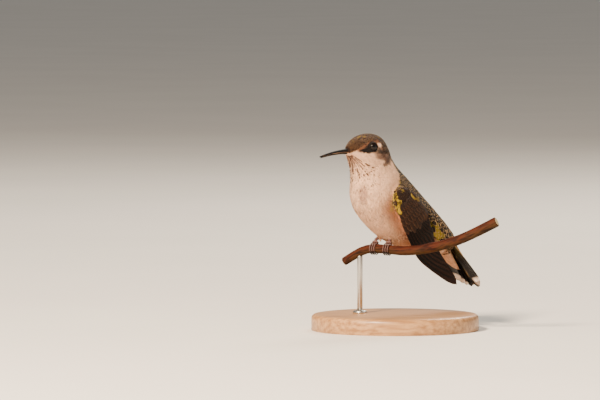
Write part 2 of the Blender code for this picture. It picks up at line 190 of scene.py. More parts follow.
def colour(label, text, code):
    return bpy.props.FloatVectorProperty(name=label, description=text, subtype="COLOR", size=3,
                                         min=0, max=1, default=srgb(code))


def length(label, text, millimetres):
    return bpy.props.FloatProperty(name=label, description=text, subtype="DISTANCE", unit="LENGTH",
                                   default=millimetres * MM)


class HUMMINGBIRD_PG_plumage(bpy.types.PropertyGroup):
    coat_depth: length("Coat depth", "How far the skin lies inside the outline", 0.36)
    face_feather: length("Face feather", "Length of the smallest feathers, beside the bill", 1.0)
    crown_feather: length("Crown feather", "Length of the feathers on the crown", 1.7)
    breast_feather: length("Breast feather", "Length of the feathers on the breast", 2.9)
    back_feather: length("Back feather", "Length of the scaled feathers on the back", 3.4)
    vent_feather: length("Vent feather", "Length of the long feathers under the tail", 3.6)
    white: colour("White", "Throat, breast and belly", "#fcc7a0")
    belly: colour("Belly", "Lower breast and belly", "#d39a76")
    flank: colour("Flank", "Buff wash beside the wing", "#97552e")
    mottle: colour("Mottle", "Grey marks on the breast", "#94695a")
    streak: colour("Throat streak", "Fine dark streaks from the chin", "#452c23")
    crown: colour("Crown", "Crown and nape", "#1f1008")
    crown_edge: colour("Crown edge", "Edges of the crown feathers", "#97683b")
    brow: colour("Brow", "Rusty band above the lores", "#5a2f18")
    lore: colour("Lore", "Dark mark from the bill to the eye", "#120a07")
    cheek: colour("Cheek", "Feathers over the ear", "#5a3c31")
    back: colour("Back", "Back and rump", "#1b1106")
    back_edge: colour("Back edge", "Pale edges of the back feathers", "#b99366")
    sheen: colour("Green sheen", "Shining yellow-green patches", "#967c17")
    wing: colour("Wing", "Flight feathers", "#060201")
    wing_edge: colour("Wing edge", "Worn edges of the flight feathers", "#24130c")
    covert: colour("Covert", "Small feathers over the wing", "#1f1008")
    covert_edge: colour("Covert edge", "Edges of the wing coverts", "#5a3a22")
    tail: colour("Tail", "Middle tail feathers", "#2c2510")
    tail_black: colour("Tail band", "Dark band of the outer tail feathers", "#0f0c0e")
    tail_white: colour("Tail tip", "Tips of the outer tail feathers", "#e6d5c8")


class HUMMINGBIRD_PG_details(bpy.types.PropertyGroup):
    lid: length("Lid", "Thickness of the bare ring round the eye", 0.2)
    scute: length("Scute", "Spacing of the scales on the toes", 0.42)
    fibre: length("Fibre", "Spacing of the ribs along the stem", 0.45)
    collar: length("Collar", "Height of the ring round the foot of the rod", 1.2)
    iris: colour("Iris", "Dark brown of the eye", "#140905")
    bill: colour("Bill", "Black horn of the bill", "#0b0806")
    toe: colour("Toe", "Mauve skin of the toes", "#5e3c36")
    claw: colour("Claw", "Dark horn of the claws", "#1c1412")
    stem_top: colour("Stem top", "Reddish side of the stem that meets the light", "#3d1706")
    stem_low: colour("Stem underside", "Green-brown underside of the stem", "#3a2812")
    pith: colour("Pith", "Pale middle of the cut stem", "#c9b685")
    wood: colour("Wood", "Beech of the base", "#b98d5f")
    wood_dark: colour("Wood grain", "Darker grain of the beech", "#8f6439")
    floor: colour("Floor", "Plain pale floor", "#e6e1d9")


MARK_LAYERS = ("plume", "edge", "edge_share", "gleam")


class Marks:
    """Colours of the plumage at some places, laid over one another, each by a mask.

    Each place has its plume's colour, its edge's colour and share, and its metallic gleam."""

    def __init__(self, count, base):
        self.plume = np.tile(np.array(base, float), (count, 1))
        self.edge = self.plume * 1.04
        self.edge_share = np.full(count, 0.15)
        self.gleam = np.zeros(count)

    def lay(self, mask, plume, edge=None, edge_share=0.15, gleam=0.0):
        mask = np.clip(mask, 0, 1)[:, None]
        edge = plume if edge is None else edge
        self.plume = self.plume * (1 - mask) + np.array(plume) * mask
        self.edge = self.edge * (1 - mask) + np.array(edge) * mask
        self.edge_share = self.edge_share * (1 - mask[:, 0]) + edge_share * mask[:, 0]
        self.gleam = self.gleam * (1 - mask[:, 0]) + gleam * mask[:, 0]

    def pick(self, which):
        """The marks of some of the places."""
        part = Marks(0, (0, 0, 0))
        for name in MARK_LAYERS:
            setattr(part, name, getattr(self, name)[which])
        return part


def back_border(along):
    """Degrees from the back line at which the dark back ends, by way along the body."""
    return np.interp(along, (-20, -16.6, -13.3, -11.3, -10.2, -8.5, 5, 11, 16, 21, 25, 30),
                     (38, 31, 48, 76, 118, 130, 116, 104, 92, 76, 54, 40))


def brow_line(forward):
    """Height of the crown's lower edge over the eyes' middle, by way forward, in millimetres."""
    return np.interp(forward, (-9, -6.5, -3.5, -2.9, 0.8, 4.0, 5.8, 8.5),
                     (-3.6, -3.4, -2.9, 2.1, 1.4, 0.1, -0.9, -2.2))


def scaly(points):
    """How far the plumage shows as scales: 1 on crown and back, 0 on the soft pale underparts."""
    forward, _, up = head_places(points)
    along, sideways, back = trunk_places(points)
    border, on_head = back_border(along), head_share(along)
    trunk = 1 - ease(turn_from_back(sideways, back), border - 8, border)
    return trunk * (1 - on_head) + ease(up - brow_line(forward), -0.4, 0.3) * on_head


def body_marks(points, tones, random):
    """The markings of the body at some places, laid one over another, for skin and feathers alike.

    Ways are in millimetres, turns in degrees, and the last factor of a mask is its strength."""
    forward, aside, up = head_places(points)
    along, sideways, back = trunk_places(points)
    turn = turn_from_back(sideways, back)
    border = back_border(along)
    marks = Marks(len(points), tones.white)

    # Underparts: white breast, buff belly and flanks, and loose grey mottling. Flanks and lower
    # belly are darker partly by their own buff, partly as painted shade on the underside.
    marks.lay(ease(along, -7, 7) * 0.8, tones.belly)
    # Partly painted shade: the flank's buff is deepened where the side turns away from the light
    # above.
    marks.lay(bump(turn, 100, 146, 14) * ease(along, -13.5, -8) * (1 - ease(along, 20, 25)) * 0.9,
              tones.flank)
    marks.lay((1 - ease(turn, 138, 165)) * ease(along, -17, -10) * 0.3, tones.flank)
    # Partly painted shade: the lower belly is darkened towards the flank colour.
    marks.lay(ease(along, 6, 13) * 0.55, tones.flank)
    cloud = (np.sin(1.6 * along + 2 * np.sin(1.1 * sideways))
             * np.sin(1.4 * sideways + np.sin(along)))
    middle_breast = bump(along, -16, -3, 3) * ease(turn, 125, 150)
    marks.lay(middle_breast * ease(cloud, 0.0, 0.8) * 0.38, tones.mottle)
    # A soft grey patch on the middle of the breast, stronger in some places than others.
    breast_grey_patch = ((along + 16.3) / 3.0) ** 2 + ((sideways - 2.2) / 1.7) ** 2
    marks.lay((1 - ease(breast_grey_patch, 0.3, 1.3)) * ease(turn, 125, 150)
              * (0.45 + 0.4 * ease(random[:, 1], 0.4, 0.7)), tones.mottle)
    grain = (np.sin(5.3 * along + 2 * np.sin(2.3 * sideways))
             * np.sin(4.7 * sideways + 1.7 * np.sin(3.1 * along)))
    marks.lay(ease(grain, 0.1, 0.8) * ease(turn, 100, 120) * ease(along, -15, -11) * 0.22,
              tones.mottle)
    fleck = ease(cloud, 0.2, 0.8) * ease(random[:, 0], 0.5, 0.8) * ease(along, -6, 2)
    marks.lay(fleck * ease(turn, 100, 120) * 0.3, tones.mottle)

    # Throat: lines of dark shaft streaks that spread from the chin, ending in loose spots.
    chin = BILL_BASE - np.array((0, 0, 1.2 * MM))
    offset = (points - chin) / MM
    down, out = -offset[:, 2], offset @ HEAD_LEFT
    behind = -(offset @ HEAD_FRONT)
    reach = np.sqrt(down ** 2 + out ** 2 + behind ** 2)
    fan = np.degrees(np.arctan2(out, np.maximum(down + 0.25 * behind, 0.1)))
    lines = np.abs((fan / LINE_TURN) % 1.0 - 0.5) * 2
    throat = ease(down, 0.2, 1.5) * (1 - ease(reach, 8, 12)) * ease(reach, 1.2, 3.0)
    marks.lay(throat * (1 - ease(lines, 0.14, 0.4)) * (1 - ease(np.abs(fan), 45, 55)) * 0.2,
              tones.streak)
    loose = bump(reach, 8, 15.5, 1.5) * ease(down, 3, 5) * ease(random[:, 2], 0.93, 0.94)
    marks.lay(loose * 0.8, tones.streak)

    # Back: dark scales with pale edges, and shining patches at the shoulder and on the rump.
    marks.lay((1 - ease(turn, border - 5, border + 5)) * ease(along, -21, -18),
              tones.back, tones.back_edge, 1.0, 0.08)
    shoulder = bump(along, -12.6, -6.5, 0.7) * bump(turn - border, -26, 6, 6)
    marks.lay(shoulder * ease(turn, 66, 80) * ease(random[:, 3], 0.5, 0.57),
              tones.sheen, tones.back_edge, 0.25, 0.75)
    rump = bump(turn, 60, 97, 7) * bump(along, 10.5, 17.5, 1.5) * ease(random[:, 0], 0.45, 0.6)
    marks.lay(rump * 0.8, tones.sheen, tones.back_edge, 0.7, 0.6)
    vent = ease(turn, border, border + 14) * ease(along, 13, 18)
    marks.lay(vent * 0.85, tones.white, tones.belly, 0.3)

    # Crown and nape, with a few shining feathers.
    brow = brow_line(forward)
    crown = ease(up - brow, -0.25, 0.35) * head_share(along)
    marks.lay(crown, tones.crown, tones.crown_edge, 0.8, 0.05)
    green = bump(forward, -4, 6, 2) * ease(up - brow, 1.5, 3) * ease(random[:, 1], 0.8, 0.9)
    marks.lay(green * crown * 0.5, tones.sheen, tones.crown_edge, 0.6, 0.5)

    # Side of the head: ear coverts, the dark marks below and behind them, brow and lores.
    ear_line = np.interp(forward, (-5.5, 1.8), (-4.4, -3.0))
    side = ease(aside, 3.0, 4.2)
    marks.lay(bump(forward, -5.6, 0.6, 0.9) * bump(up - ear_line, -1.1, 1.5, 0.5) * side * 0.8,
              tones.cheek, tones.crown_edge, 0.25)
    marks.lay(bump(forward, -7.5, -1.9, 0.4) * ease(up - ear_line, -0.6, 0.4) * side
              * (1 - crown) * 0.85, tones.cheek, tones.crown_edge, 0.3)
    patch = ((forward + 3.9) / 1.7) ** 2 + ((up + 6.0 + 0.35 * (forward + 3.9)) / 0.75) ** 2
    marks.lay((1 - ease(patch, 0.6, 1.5)) * side * 0.8, tones.streak)
    ear_mark = bump(forward, -6.4, -3.4, 0.6) * bump(up - 0.35 * forward, -4.6, -2.4, 0.5) * side
    marks.lay(ear_mark * 0.75, tones.streak)
    neck_line = bump(forward, -7.2, -5.2, 0.4) * bump(up, -5.4, -3.2, 0.5) * side
    marks.lay(neck_line * 0.7, tones.streak)
    brow_depth = np.interp(forward, (-3, 0.6, 2.2), (-2.2, -1.8, -0.6))
    marks.lay(bump(up - brow, brow_depth, 0.3, 0.25) * bump(forward, -3.6, 6.6, 0.5)
              * ease(aside, 1.4, 2.2) * 0.95, tones.brow, tones.crown_edge, 0.25)
    lore_low = np.interp(forward, (-2, 0, 3.3, 6.2), (-2.0, -2.1, -2.05, -1.9))
    lore_top = brow - 0.35
    marks.lay(ease(up, lore_low - 0.2, lore_low + 0.25)
              * (1 - ease(up, lore_top - 0.2, lore_top + 0.25))
              * bump(forward, -0.5, 6.1, 0.4) * ease(aside, 1.8, 2.6), tones.lore)

    # Round the eye: dark below and behind, a white spot at its back corner, a dark ring.
    marks.lay(bump(forward, -3.2, -0.8, 0.5) * bump(up, -2.9, -1.4, 0.45) * side * 0.85,
              tones.lore)
    marks.lay(bump(forward, -3.2, -1.9, 0.2) * bump(up, -0.5, 1.4, 0.3) * side, tones.white)
    marks.lay(1 - ease(from_eyes(points), 1.86, 2.1), tones.lore)
    return marks


# ---- meshes and their layers ----

def as_object(name, data, surface):
    """Put a finished mesh into the scene, with its material."""
    data.materials.append(surface)
    item = bpy.data.objects.new(name, data)
    bpy.context.scene.collection.objects.link(item)
    return item


def new_object(name, mesh, surface, smooth=True):
    data = bpy.data.meshes.new(name)
    mesh.to_mesh(data)
    mesh.free()
    if smooth:
        data.shade_smooth()
    return as_object(name, data, surface)


def settle(item, slot, *nodes):
    """Let a piece ride on the body and stand for its CAD nodes; slot is not used."""
    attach(item, "root")
    if nodes:
        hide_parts(*nodes)


def write_layer(data, name, values):
    """An attribute with a number, a vector or a colour for each vertex."""
    values = np.asarray(values, np.float32)
    if values.ndim == 1:
        layer, field = data.attributes.new(name, "FLOAT", "POINT"), "value"
    elif values.shape[1] == 3:
        layer, field = data.attributes.new(name, "FLOAT_VECTOR", "POINT"), "vector"
    else:
        layer, field = data.color_attributes.new(name, "FLOAT_COLOR", "POINT"), "color"
    layer.data.foreach_set(field, values.ravel())


def write_marks(data, marks):
    """The plumage's colours as attributes; marks are given for each vertex or for each feather."""
    for name in MARK_LAYERS:
        values = getattr(marks, name)
        if values.ndim == 2:
            values = np.hstack([values, np.ones((len(values), 1))])
        write_layer(data, name, np.repeat(values, len(data.vertices) // len(values), axis=0))


def write_uv(data, name, places):
    """A UV map with a place for each corner of each face."""
    layer = data.uv_layers.new(name=name)
    layer.data.foreach_set("uv", places.astype(np.float32).ravel())


def corners_of(mesh):
    """Places and normals of a mesh's corners."""
    return (np.array([tuple(v.co) for v in mesh.verts]),
            np.array([tuple(v.normal) for v in mesh.verts]))


def smoothed(mesh, rounds):
    for _ in range(rounds):
        bmesh.ops.smooth_vert(mesh, verts=mesh.verts, factor=0.5, use_axis_x=True, use_axis_y=True,
                              use_axis_z=True)


def fused(kind, nodes, pads=()):
    """A fine even mesh over the union of some nodes and round pads.

    FUSING gives each kind's voxel and swelling, in millimetres, and its rounds of smoothing."""
    voxel, swell, rounds = FUSING[kind]
    mesh = bmesh.new()
    for node in nodes:
        mesh.from_mesh(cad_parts[node].data)
    bmesh.ops.remove_doubles(mesh, verts=mesh.verts, dist=1e-6)
    mesh.normal_update()
    for vert, normal in [(vert, vert.normal.copy()) for vert in mesh.verts]:
        vert.co += normal * (swell * MM)
    for place, radius in pads:
        bmesh.ops.create_icosphere(mesh, subdivisions=3, radius=radius,
                                   matrix=Matrix.Translation(Vector(place)))
    rough = new_object("rough", mesh, contour_material())
    remesh = rough.modifiers.new("even", "REMESH")
    remesh.mode = "VOXEL"
    remesh.voxel_size = voxel * MM
    remesh.adaptivity = 0.0
    bpy.context.view_layer.update()
    depsgraph = bpy.context.evaluated_depsgraph_get()
    data = bpy.data.meshes.new_from_object(rough.evaluated_get(depsgraph))
    bpy.data.objects.remove(rough)
    fine = bmesh.new()
    fine.from_mesh(data)
    bpy.data.meshes.remove(data)
    smoothed(fine, rounds)
    fine.normal_update()
    return fine


def tree_of(*items):
    """A search tree of some objects' meshes, for nearest points and rays."""
    corners, triangles = [], []
    for item in items:
        data = item.data
        data.calc_loop_triangles()
        first = len(corners)
        corners += [v.co.copy() for v in data.vertices]
        triangles += [tuple(first + v for v in t.vertices) for t in data.loop_triangles]
    return BVHTree.FromPolygons(corners, triangles)


def nearest_nodes(points, nodes):
    """The number of the CAD node nearest to each point."""
    gaps = []
    for node in nodes:
        tree = tree_of(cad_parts[node])
        gaps.append([tree.find_nearest(Vector(point))[3] for point in points])
    return np.argmin(np.array(gaps), axis=0)


# ---- feathers ----

def vane_pattern(across, along):
    """A flat closed vane: x from -1 to 1, y from 0 at its root to 1, z 0 on top, -1 beneath."""
    mesh = bmesh.new()
    bmesh.ops.create_grid(mesh, x_segments=across, y_segments=along, size=1)
    bmesh.ops.solidify(mesh, geom=mesh.faces[:], thickness=-1.0)
    bmesh.ops.recalc_face_normals(mesh, faces=mesh.faces)
    corners = np.array([tuple(v.co) for v in mesh.verts])
    corners[:, 1] = (corners[:, 1] + 1) / 2
    corners[:, 2] = np.where(corners[:, 2] > corners[:, 2].max() - 0.5, 0.0, -1.0)
    faces = np.array([[v.index for v in face.verts] for face in mesh.faces])
    mesh.free()
    return corners, faces


def joined_mesh(name, places, pattern, marks, patch_at, patch, surface):
    """Copies of one vane as a single mesh; places holds each feather's corner places."""
    corners, faces = pattern
    count, size = places.shape[:2]
    data = bpy.data.meshes.new(name)
    data.vertices.add(count * size)
    data.vertices.foreach_set("co", places.astype(np.float32).ravel())
    loops = (faces[None] + (np.arange(count) * size)[:, None, None]).astype(np.int32).ravel()
    data.loops.add(len(loops))
    data.loops.foreach_set("vertex_index", loops)
    sides = faces.shape[1]
    data.polygons.add(len(loops) // sides)
    data.polygons.foreach_set("loop_start", np.arange(0, len(loops), sides, dtype=np.int32))
    data.update(calc_edges=True)
    data.shade_smooth()
    flat = np.stack([(corners[:, 0] + 1) / 2, corners[:, 1]], axis=1)
    write_uv(data, "Vane", np.tile(flat[faces.ravel()], (count, 1)))
    baked = patch_at[:, None, :] + (flat[None] - 0.5) * np.array(patch, float)
    write_uv(data, COAT_UV, baked[:, faces.ravel(), :])
    write_marks(data, marks)
    return as_object(name, data, surface)


def skin_unwrap(points):
    """A place for each point on an unwrap of the body: round its middle line, and along it."""
    along, sideways, back = trunk_places(points)
    forward, _, up = head_places(points)
    head = along < -13
    out = (points - EYE_MIDDLE) @ HEAD_LEFT / MM
    turn = np.where(head, np.arctan2(out, up + 2.2), np.arctan2(sideways, back))
    way = np.where(head, -forward - 30, along)
    return np.stack([0.5 + turn / math.tau * 0.96,
                     0.05 + (way - BODY_START) / BODY_LENGTH * 0.9], axis=1)


def lie_of_coat(points, normals):
    """The direction of the feathers at some places: away from the bill, then down the body."""
    from_bill = unit(points - BILL_BASE)
    along = trunk_places(points)[0]
    share = ease(along, -16, 4)[:, None]
    tail = ease(along, 10, 24)[:, None]
    axis = unit(np.array(DOWN) * (1 - tail) + np.array(TAIL_DOWN) * tail)
    lie = from_bill * (1 - share) + axis * share
    # Round an eye the feathers part and close again, as a stream does round a post.
    for eye, sign in EYES:
        away, gaze = points - eye, gaze_of(sign)
        apart = away - np.outer(away @ gaze, gaze)
        outward = unit(apart)
        gap = np.linalg.norm(apart, axis=1)
        share = np.minimum((1.2 * EYE_RADIUS / np.maximum(gap, 0.1 * MM)) ** 2, 0.85)
        share = share * (np.linalg.norm(away, axis=1) < 4 * EYE_RADIUS)
        lie = lie + share[:, None] * (lie - 2 * outward * (lie * outward).sum(1)[:, None])
    lie = lie - normals * (lie * normals).sum(1)[:, None]
    return unit(lie)


def spread_roots(skin, spacing_of, random, tries):
    """Places spread over a mesh, no two nearer than spacing_of gives, and their normals."""
    data = skin.data
    data.calc_loop_triangles()
    corners = np.array([v.co for v in data.vertices])
    normals = np.array([v.normal for v in data.vertices])
    triangles = np.array([t.vertices for t in data.loop_triangles])
    a, b, c = (corners[triangles[:, k]] for k in range(3))
    areas = np.linalg.norm(np.cross(b - a, c - a), axis=1)
    spacing = spacing_of((a + b + c) / 3)
    chance = areas / spacing ** 2
    picked = random.choice(len(triangles), size=tries, p=chance / chance.sum())
    r1, r2 = np.sqrt(random.random(tries)), random.random(tries)
    weights = np.stack([1 - r1, r1 * (1 - r2), r1 * r2], axis=1)
    places = (corners[triangles[picked]] * weights[:, :, None]).sum(1)
    facing = unit((normals[triangles[picked]] * weights[:, :, None]).sum(1))
    spacing = spacing_of(places)
    tree = KDTree(tries)
    for index, place in enumerate(places):
        tree.insert(place, index)
    tree.balance()
    free = np.ones(tries, bool)
    kept = []
    for index in range(tries):
        if free[index]:
            kept.append(index)
            for _, other, _ in tree.find_range(places[index], spacing[index]):
                free[other] = False
    kept = np.array(kept)
    return places[kept], facing[kept]


def grow_vanes(surface, roots, normals, lie, lengths, widths, lifts, rounds, pattern, random):
    """Corner places of the vanes that grow from the roots and follow the surface below them."""
    corners, _ = pattern
    flat, which = np.unique(np.round(corners[:, :2], 4), axis=0, return_inverse=True)
    x, y = flat[:, 0], flat[:, 1]
    swing = (random.normal(0, 0.13, len(roots)) * np.minimum(1, 2.2 * MM / lengths))[:, None]
    across = unit(np.cross(normals, lie))
    lie = unit(lie * np.cos(swing) + across * np.sin(swing))
    across = unit(np.cross(normals, lie))
    # Half widths along the vane: blunt where it is a scale, keen where the plumage is soft.
    blunt = np.interp(y, (0, 0.25, 0.6, 0.85, 1), (0.35, 0.85, 1.0, 0.92, 0.62))
    keen = np.interp(y, (0, 0.3, 0.6, 0.85, 1), (0.5, 0.95, 1.0, 0.78, 0.4))
    outline = keen + (blunt - keen) * rounds[:, None]
    ragged = 1 - 0.08 * random.random((len(roots), len(flat))) * (y > 0.97)
    forward = y * ragged - 0.36 * x ** 2 * y ** 3
    sideways = x * outline
    spots = (roots[:, None] + lie[:, None] * (forward * lengths[:, None])[..., None]
             + across[:, None] * (sideways * widths[:, None] / 2)[..., None])
    tilt = random.normal(0, 0.07, len(roots))[:, None]
    height = lifts[:, None] * (0.6 + 0.4 * y ** 0.5 - 0.1 * x ** 2 * y + tilt * x * y)
    # Near the surface a corner rises from it; past its edge it keeps to the root's own plane.
    tops = np.empty_like(spots)
    for feather in range(len(roots)):
        for corner in range(len(flat)):
            spot = Vector(spots[feather, corner])
            near, facing, _, gap = surface.find_nearest(spot)
            free = float(ease(gap / MM, 0.5, 1.5))
            facing = facing.lerp(Vector(normals[feather]), free)
            tops[feather, corner] = near.lerp(spot, free) + facing * height[feather, corner]
    # A vane bends as one curve: the shifts of its corners are eased to a second-order surface.
    terms = np.stack([np.ones_like(x), x, y, x * y, x ** 2, y ** 2], axis=1)
    eased = terms @ np.linalg.pinv(terms)
    tops = spots + np.einsum("ij,fjk->fik", eased, tops - spots)
    places = tops[:, which.ravel()]
    thickness = (0.035 * MM + 0.01 * widths)[:, None, None]
    down = -normals[:, None, :] * thickness
    return places + down * (-corners[None, :, 2:3])


# ---- materials ----

def link(tree, item, inputs):
    """Give a node's inputs a value or a socket each; a node stands for its first output."""
    for key, value in inputs.items():
        if isinstance(value, bpy.types.Node):
            value = value.outputs[0]
        if isinstance(value, bpy.types.NodeSocket):
            tree.links.new(value, item.inputs[key])
        else:
            item.inputs[key].default_value = value


def add(tree, kind, inputs=None, **settings):
    """Add a shader node with its settings and links."""
    item = tree.nodes.new("ShaderNode" + kind)
    for key, value in settings.items():
        setattr(item, key, value)
    link(tree, item, inputs or {})
    return item


def new_material(name, **sockets):
    """A material with only a Principled shader; returns it, its tree and the shader."""
    made = bpy.data.materials.new(name)
    made.use_nodes = True
    shader = made.node_tree.nodes["Principled BSDF"]
    link(made.node_tree, shader, {key.replace("_", " "): value for key, value in sockets.items()})
    return made, made.node_tree, shader


def shared_material(name, maker, *values):
    return bpy.data.materials.get(name) or maker(name, *values)


def rgba(tone, share=1.0):
    """A colour for a socket, darker where share is below 1."""
    return (*(part * share for part in tone), 1.0)


def drift_of(tree, scale, detail, stretch=(1, 1, 1)):
    """Noise that stays on the piece, in object coordinates."""
    place = add(tree, "TexCoord").outputs["Object"]
    if stretch != (1, 1, 1):
        place = add(tree, "Mapping", {"Vector": place, "Scale": stretch})
    return add(tree, "TexNoise", {"Vector": place, "Scale": scale, "Detail": detail})


def noise_tone(tree, dark, light, scale, stretch=(1, 1, 1), detail=4.0):
    """A colour that drifts between two, and the pattern that it follows."""
    drift = drift_of(tree, scale, detail, stretch)
    share = add(tree, "MapRange", {"Value": drift, "From Min": 0.35, "From Max": 0.65})
    tone = add(tree, "Mix", {0: share, MIX_A: dark, MIX_B: light}, data_type="RGBA")
    return tone.outputs[MIX_OUT], drift


def dress(tree, shader, tone, height, strength, distance):
    """Give a shader its colour, and a relief from a pattern: distance is its depth in metres."""
    lump = add(tree, "Bump", {"Height": height, "Strength": strength, "Distance": distance})
    link(tree, shader, {"Base Color": tone, "Normal": lump})


def plumage_material(name, barbs, roughness, sheen, relief, fringe, rim_from):
    """Feather keratin: matt, with fine slanting barbs beside the shaft, and a worn rim."""
    made, tree, shader = new_material(
        name, Sheen_Weight=sheen, Sheen_Roughness=0.5, Specular_IOR_Level=0.12,
        Subsurface_Weight=0.25, Subsurface_Radius=(0.0006, 0.0004, 0.0003), Subsurface_Scale=1.0)
    plume, edge, share, gleam = (add(tree, "Attribute", attribute_name=layer)
                                 for layer in MARK_LAYERS)
    vane = add(tree, "SeparateXYZ", {0: add(tree, "UVMap", uv_map="Vane")})
    off = add(tree, "Math", {0: vane, 1: 0.5}, operation="SUBTRACT")
    off = add(tree, "Math", {0: off}, operation="ABSOLUTE")
    # Barbs: stripes of the way along the shaft, less about half of the way out from it.
    slant = add(tree, "Math", {0: off, 1: 0.55}, operation="MULTIPLY")
    slant = add(tree, "Math", {0: vane.outputs[1], 1: slant}, operation="SUBTRACT")
    wave = add(tree, "Math", {0: slant, 1: barbs * math.tau}, operation="MULTIPLY")
    wave = add(tree, "Math", {0: wave}, operation="SINE")
    # Rim: the last part of the vane and its two sides carry the edge colour.
    side = add(tree, "Math", {0: off, 1: 2.0}, operation="MULTIPLY")
    side = add(tree, "Math", {0: side, 1: 3.0}, operation="POWER")
    rim = add(tree, "Math", {0: side, 1: fringe, 2: vane.outputs[1]}, operation="MULTIPLY_ADD")
    rim = add(tree, "MapRange", {"Value": rim, "From Min": rim_from, "From Max": 0.97},
              interpolation_type="SMOOTHSTEP")
    rim = add(tree, "Math", {0: rim, 1: share.outputs["Fac"]}, operation="MULTIPLY")
    tone = add(tree, "Mix", {0: rim, MIX_A: plume, MIX_B: edge}, data_type="RGBA")
    # The barbs and a fine mottle make it a little lighter and darker.
    light = add(tree, "Math", {0: wave, 1: 0.05, 2: 1.0}, operation="MULTIPLY_ADD")
    light = add(tree, "Math", {0: drift_of(tree, 1500.0, 3.0), 1: 0.3, 2: light},
                operation="MULTIPLY_ADD")
    light = add(tree, "Math", {0: light, 1: 0.15}, operation="SUBTRACT")
    tone = add(tree, "VectorMath", {0: tone.outputs[MIX_OUT], "Scale": light}, operation="SCALE")
    # Shining feathers are smoother, and mirror the light in their own colour.
    gleam = gleam.outputs["Fac"]
    metal = add(tree, "Math", {0: gleam, 1: 0.55}, operation="MULTIPLY")
    rough = add(tree, "Math", {0: gleam, 1: -0.3, 2: roughness}, operation="MULTIPLY_ADD")
    link(tree, shader, {"Metallic": metal, "Roughness": rough})
    dress(tree, shader, tone, wave, relief, 0.00004)
    return made


def contour_material():
    return shared_material("body plumage, feather keratin", plumage_material, 20, 0.85,
                           0.06, 0.5, 0.4, 0.78)


def flight_material():
    return shared_material("flight feathers, feather keratin", plumage_material, 60, 0.55,
                           0.0, 0.35, 0.85, 0.84)


def down_material(name):
    """Short soft down on the skin: matt, in the plumage's own colours darkened as painted shade
    under the feathers, so no bare gap shows.
    """
    made, tree, shader = new_material(name, Roughness=0.9, Specular_IOR_Level=0.2)
    plume = add(tree, "Attribute", attribute_name="plume")
    # Painted shade: the down takes 0.85 of the plumage's colour, as if in the shadow of the
    # feathers over it.
    shade = add(tree, "VectorMath", {0: plume, "Scale": 0.85}, operation="SCALE")
    dress(tree, shader, shade, drift_of(tree, 3500.0, 2.0), 0.6, 0.0001)
    return made


def eye_material(name, iris):
    """Cornea over a dark iris: wet and glass-smooth, nearly black, brown where light gets in."""
    made, tree, shader = new_material(name, Roughness=0.06, Specular_IOR_Level=0.22)
    gaze = add(tree, "Attribute", attribute_name="gaze").outputs["Fac"]
    pupil = add(tree, "MapRange", {"Value": gaze, "From Min": 0.86, "From Max": 0.89})
    rim = add(tree, "MapRange", {"Value": gaze, "From Min": 0.68, "From Max": 0.8})
    inner = add(tree, "Mix", {0: rim, MIX_A: rgba(iris, 0.25), MIX_B: rgba(iris)},
                data_type="RGBA")
    tone = add(tree, "Mix", {0: pupil, MIX_A: inner.outputs[MIX_OUT],
                             MIX_B: (0.002, 0.0015, 0.0015, 1)}, data_type="RGBA")
    link(tree, shader, {"Base Color": tone.outputs[MIX_OUT]})
    return made


def lid_material(name, tone):
    """Bare lid skin: dark, finely wrinkled, dull."""
    made, tree, shader = new_material(name, Roughness=0.8, Specular_IOR_Level=0.2)
    mixed, pattern = noise_tone(tree, rgba(tone, 0.5), rgba(tone), 2500)
    dress(tree, shader, mixed, pattern, 0.5, 0.00005)
    return made


def horn_material(name, tone, roughness):
    """Horn sheath of bill and claws: near black, smooth, with a faint uneven growth."""
    made, tree, shader = new_material(name, Roughness=roughness, Specular_IOR_Level=0.18)
    mixed, pattern = noise_tone(tree, rgba(tone, 0.6), rgba(tone, 1.5), 1800)
    dress(tree, shader, mixed, pattern, 0.3, 0.00004)
    return made


def toe_material(name, tone, spacing):
    """Scaled skin: thin scutes in rings, mauve, darker in the grooves between them."""
    made, tree, shader = new_material(name, Roughness=0.55, Subsurface_Weight=0.08,
                                      Subsurface_Radius=(0.0006, 0.0003, 0.0002))
    way = add(tree, "Attribute", attribute_name="way").outputs["Fac"]
    ring = add(tree, "Math", {0: way, 1: math.pi / spacing}, operation="MULTIPLY")
    ring = add(tree, "Math", {0: ring}, operation="SINE")
    ring = add(tree, "Math", {0: ring}, operation="ABSOLUTE")
    ring = add(tree, "Math", {0: ring, 1: 0.35}, operation="POWER")
    mixed, _ = noise_tone(tree, rgba(tone, 0.62), rgba(tone), 1500)
    dark = add(tree, "Mix", {0: ring, MIX_A: rgba(tone, 0.3), MIX_B: mixed}, data_type="RGBA")
    dress(tree, shader, dark.outputs[MIX_OUT], ring, 0.5, 0.00006)
    return made


def bark_material(name, top, low, pith):
    """Young bark: dull, reddish on the lit side, green-brown beneath, with fine dark fissures."""
    made, tree, shader = new_material(name, Roughness=0.75, Specular_IOR_Level=0.14)
    lit, cut = (add(tree, "Attribute", attribute_name=layer).outputs["Fac"]
                for layer in ("upward", "cut"))
    along_bark = add(tree, "Attribute", attribute_name="bark").outputs["Vector"]
    drift = add(tree, "TexNoise", {"Vector": along_bark, "Scale": 1500.0, "Detail": 6.0})
    share = add(tree, "Math", {0: drift_of(tree, 160.0, 2.0), 1: 1.3, 2: lit},
                operation="MULTIPLY_ADD")
    share = add(tree, "MapRange", {"Value": share, "From Min": 0.35, "From Max": 1.15})
    tone = add(tree, "Mix", {0: share, MIX_A: rgba(low), MIX_B: rgba(top)}, data_type="RGBA")
    cracks = add(tree, "MapRange", {"Value": drift, "From Min": 0.38, "From Max": 0.55,
                                    "To Min": 0.3, "To Max": 1.0})
    tone = add(tree, "VectorMath", {0: tone.outputs[MIX_OUT], "Scale": cracks}, operation="SCALE")
    end = add(tree, "Mix", {0: cut, MIX_A: tone, MIX_B: rgba(pith)}, data_type="RGBA")
    dress(tree, shader, end.outputs[MIX_OUT], drift, 0.8, 0.0002)
    return made


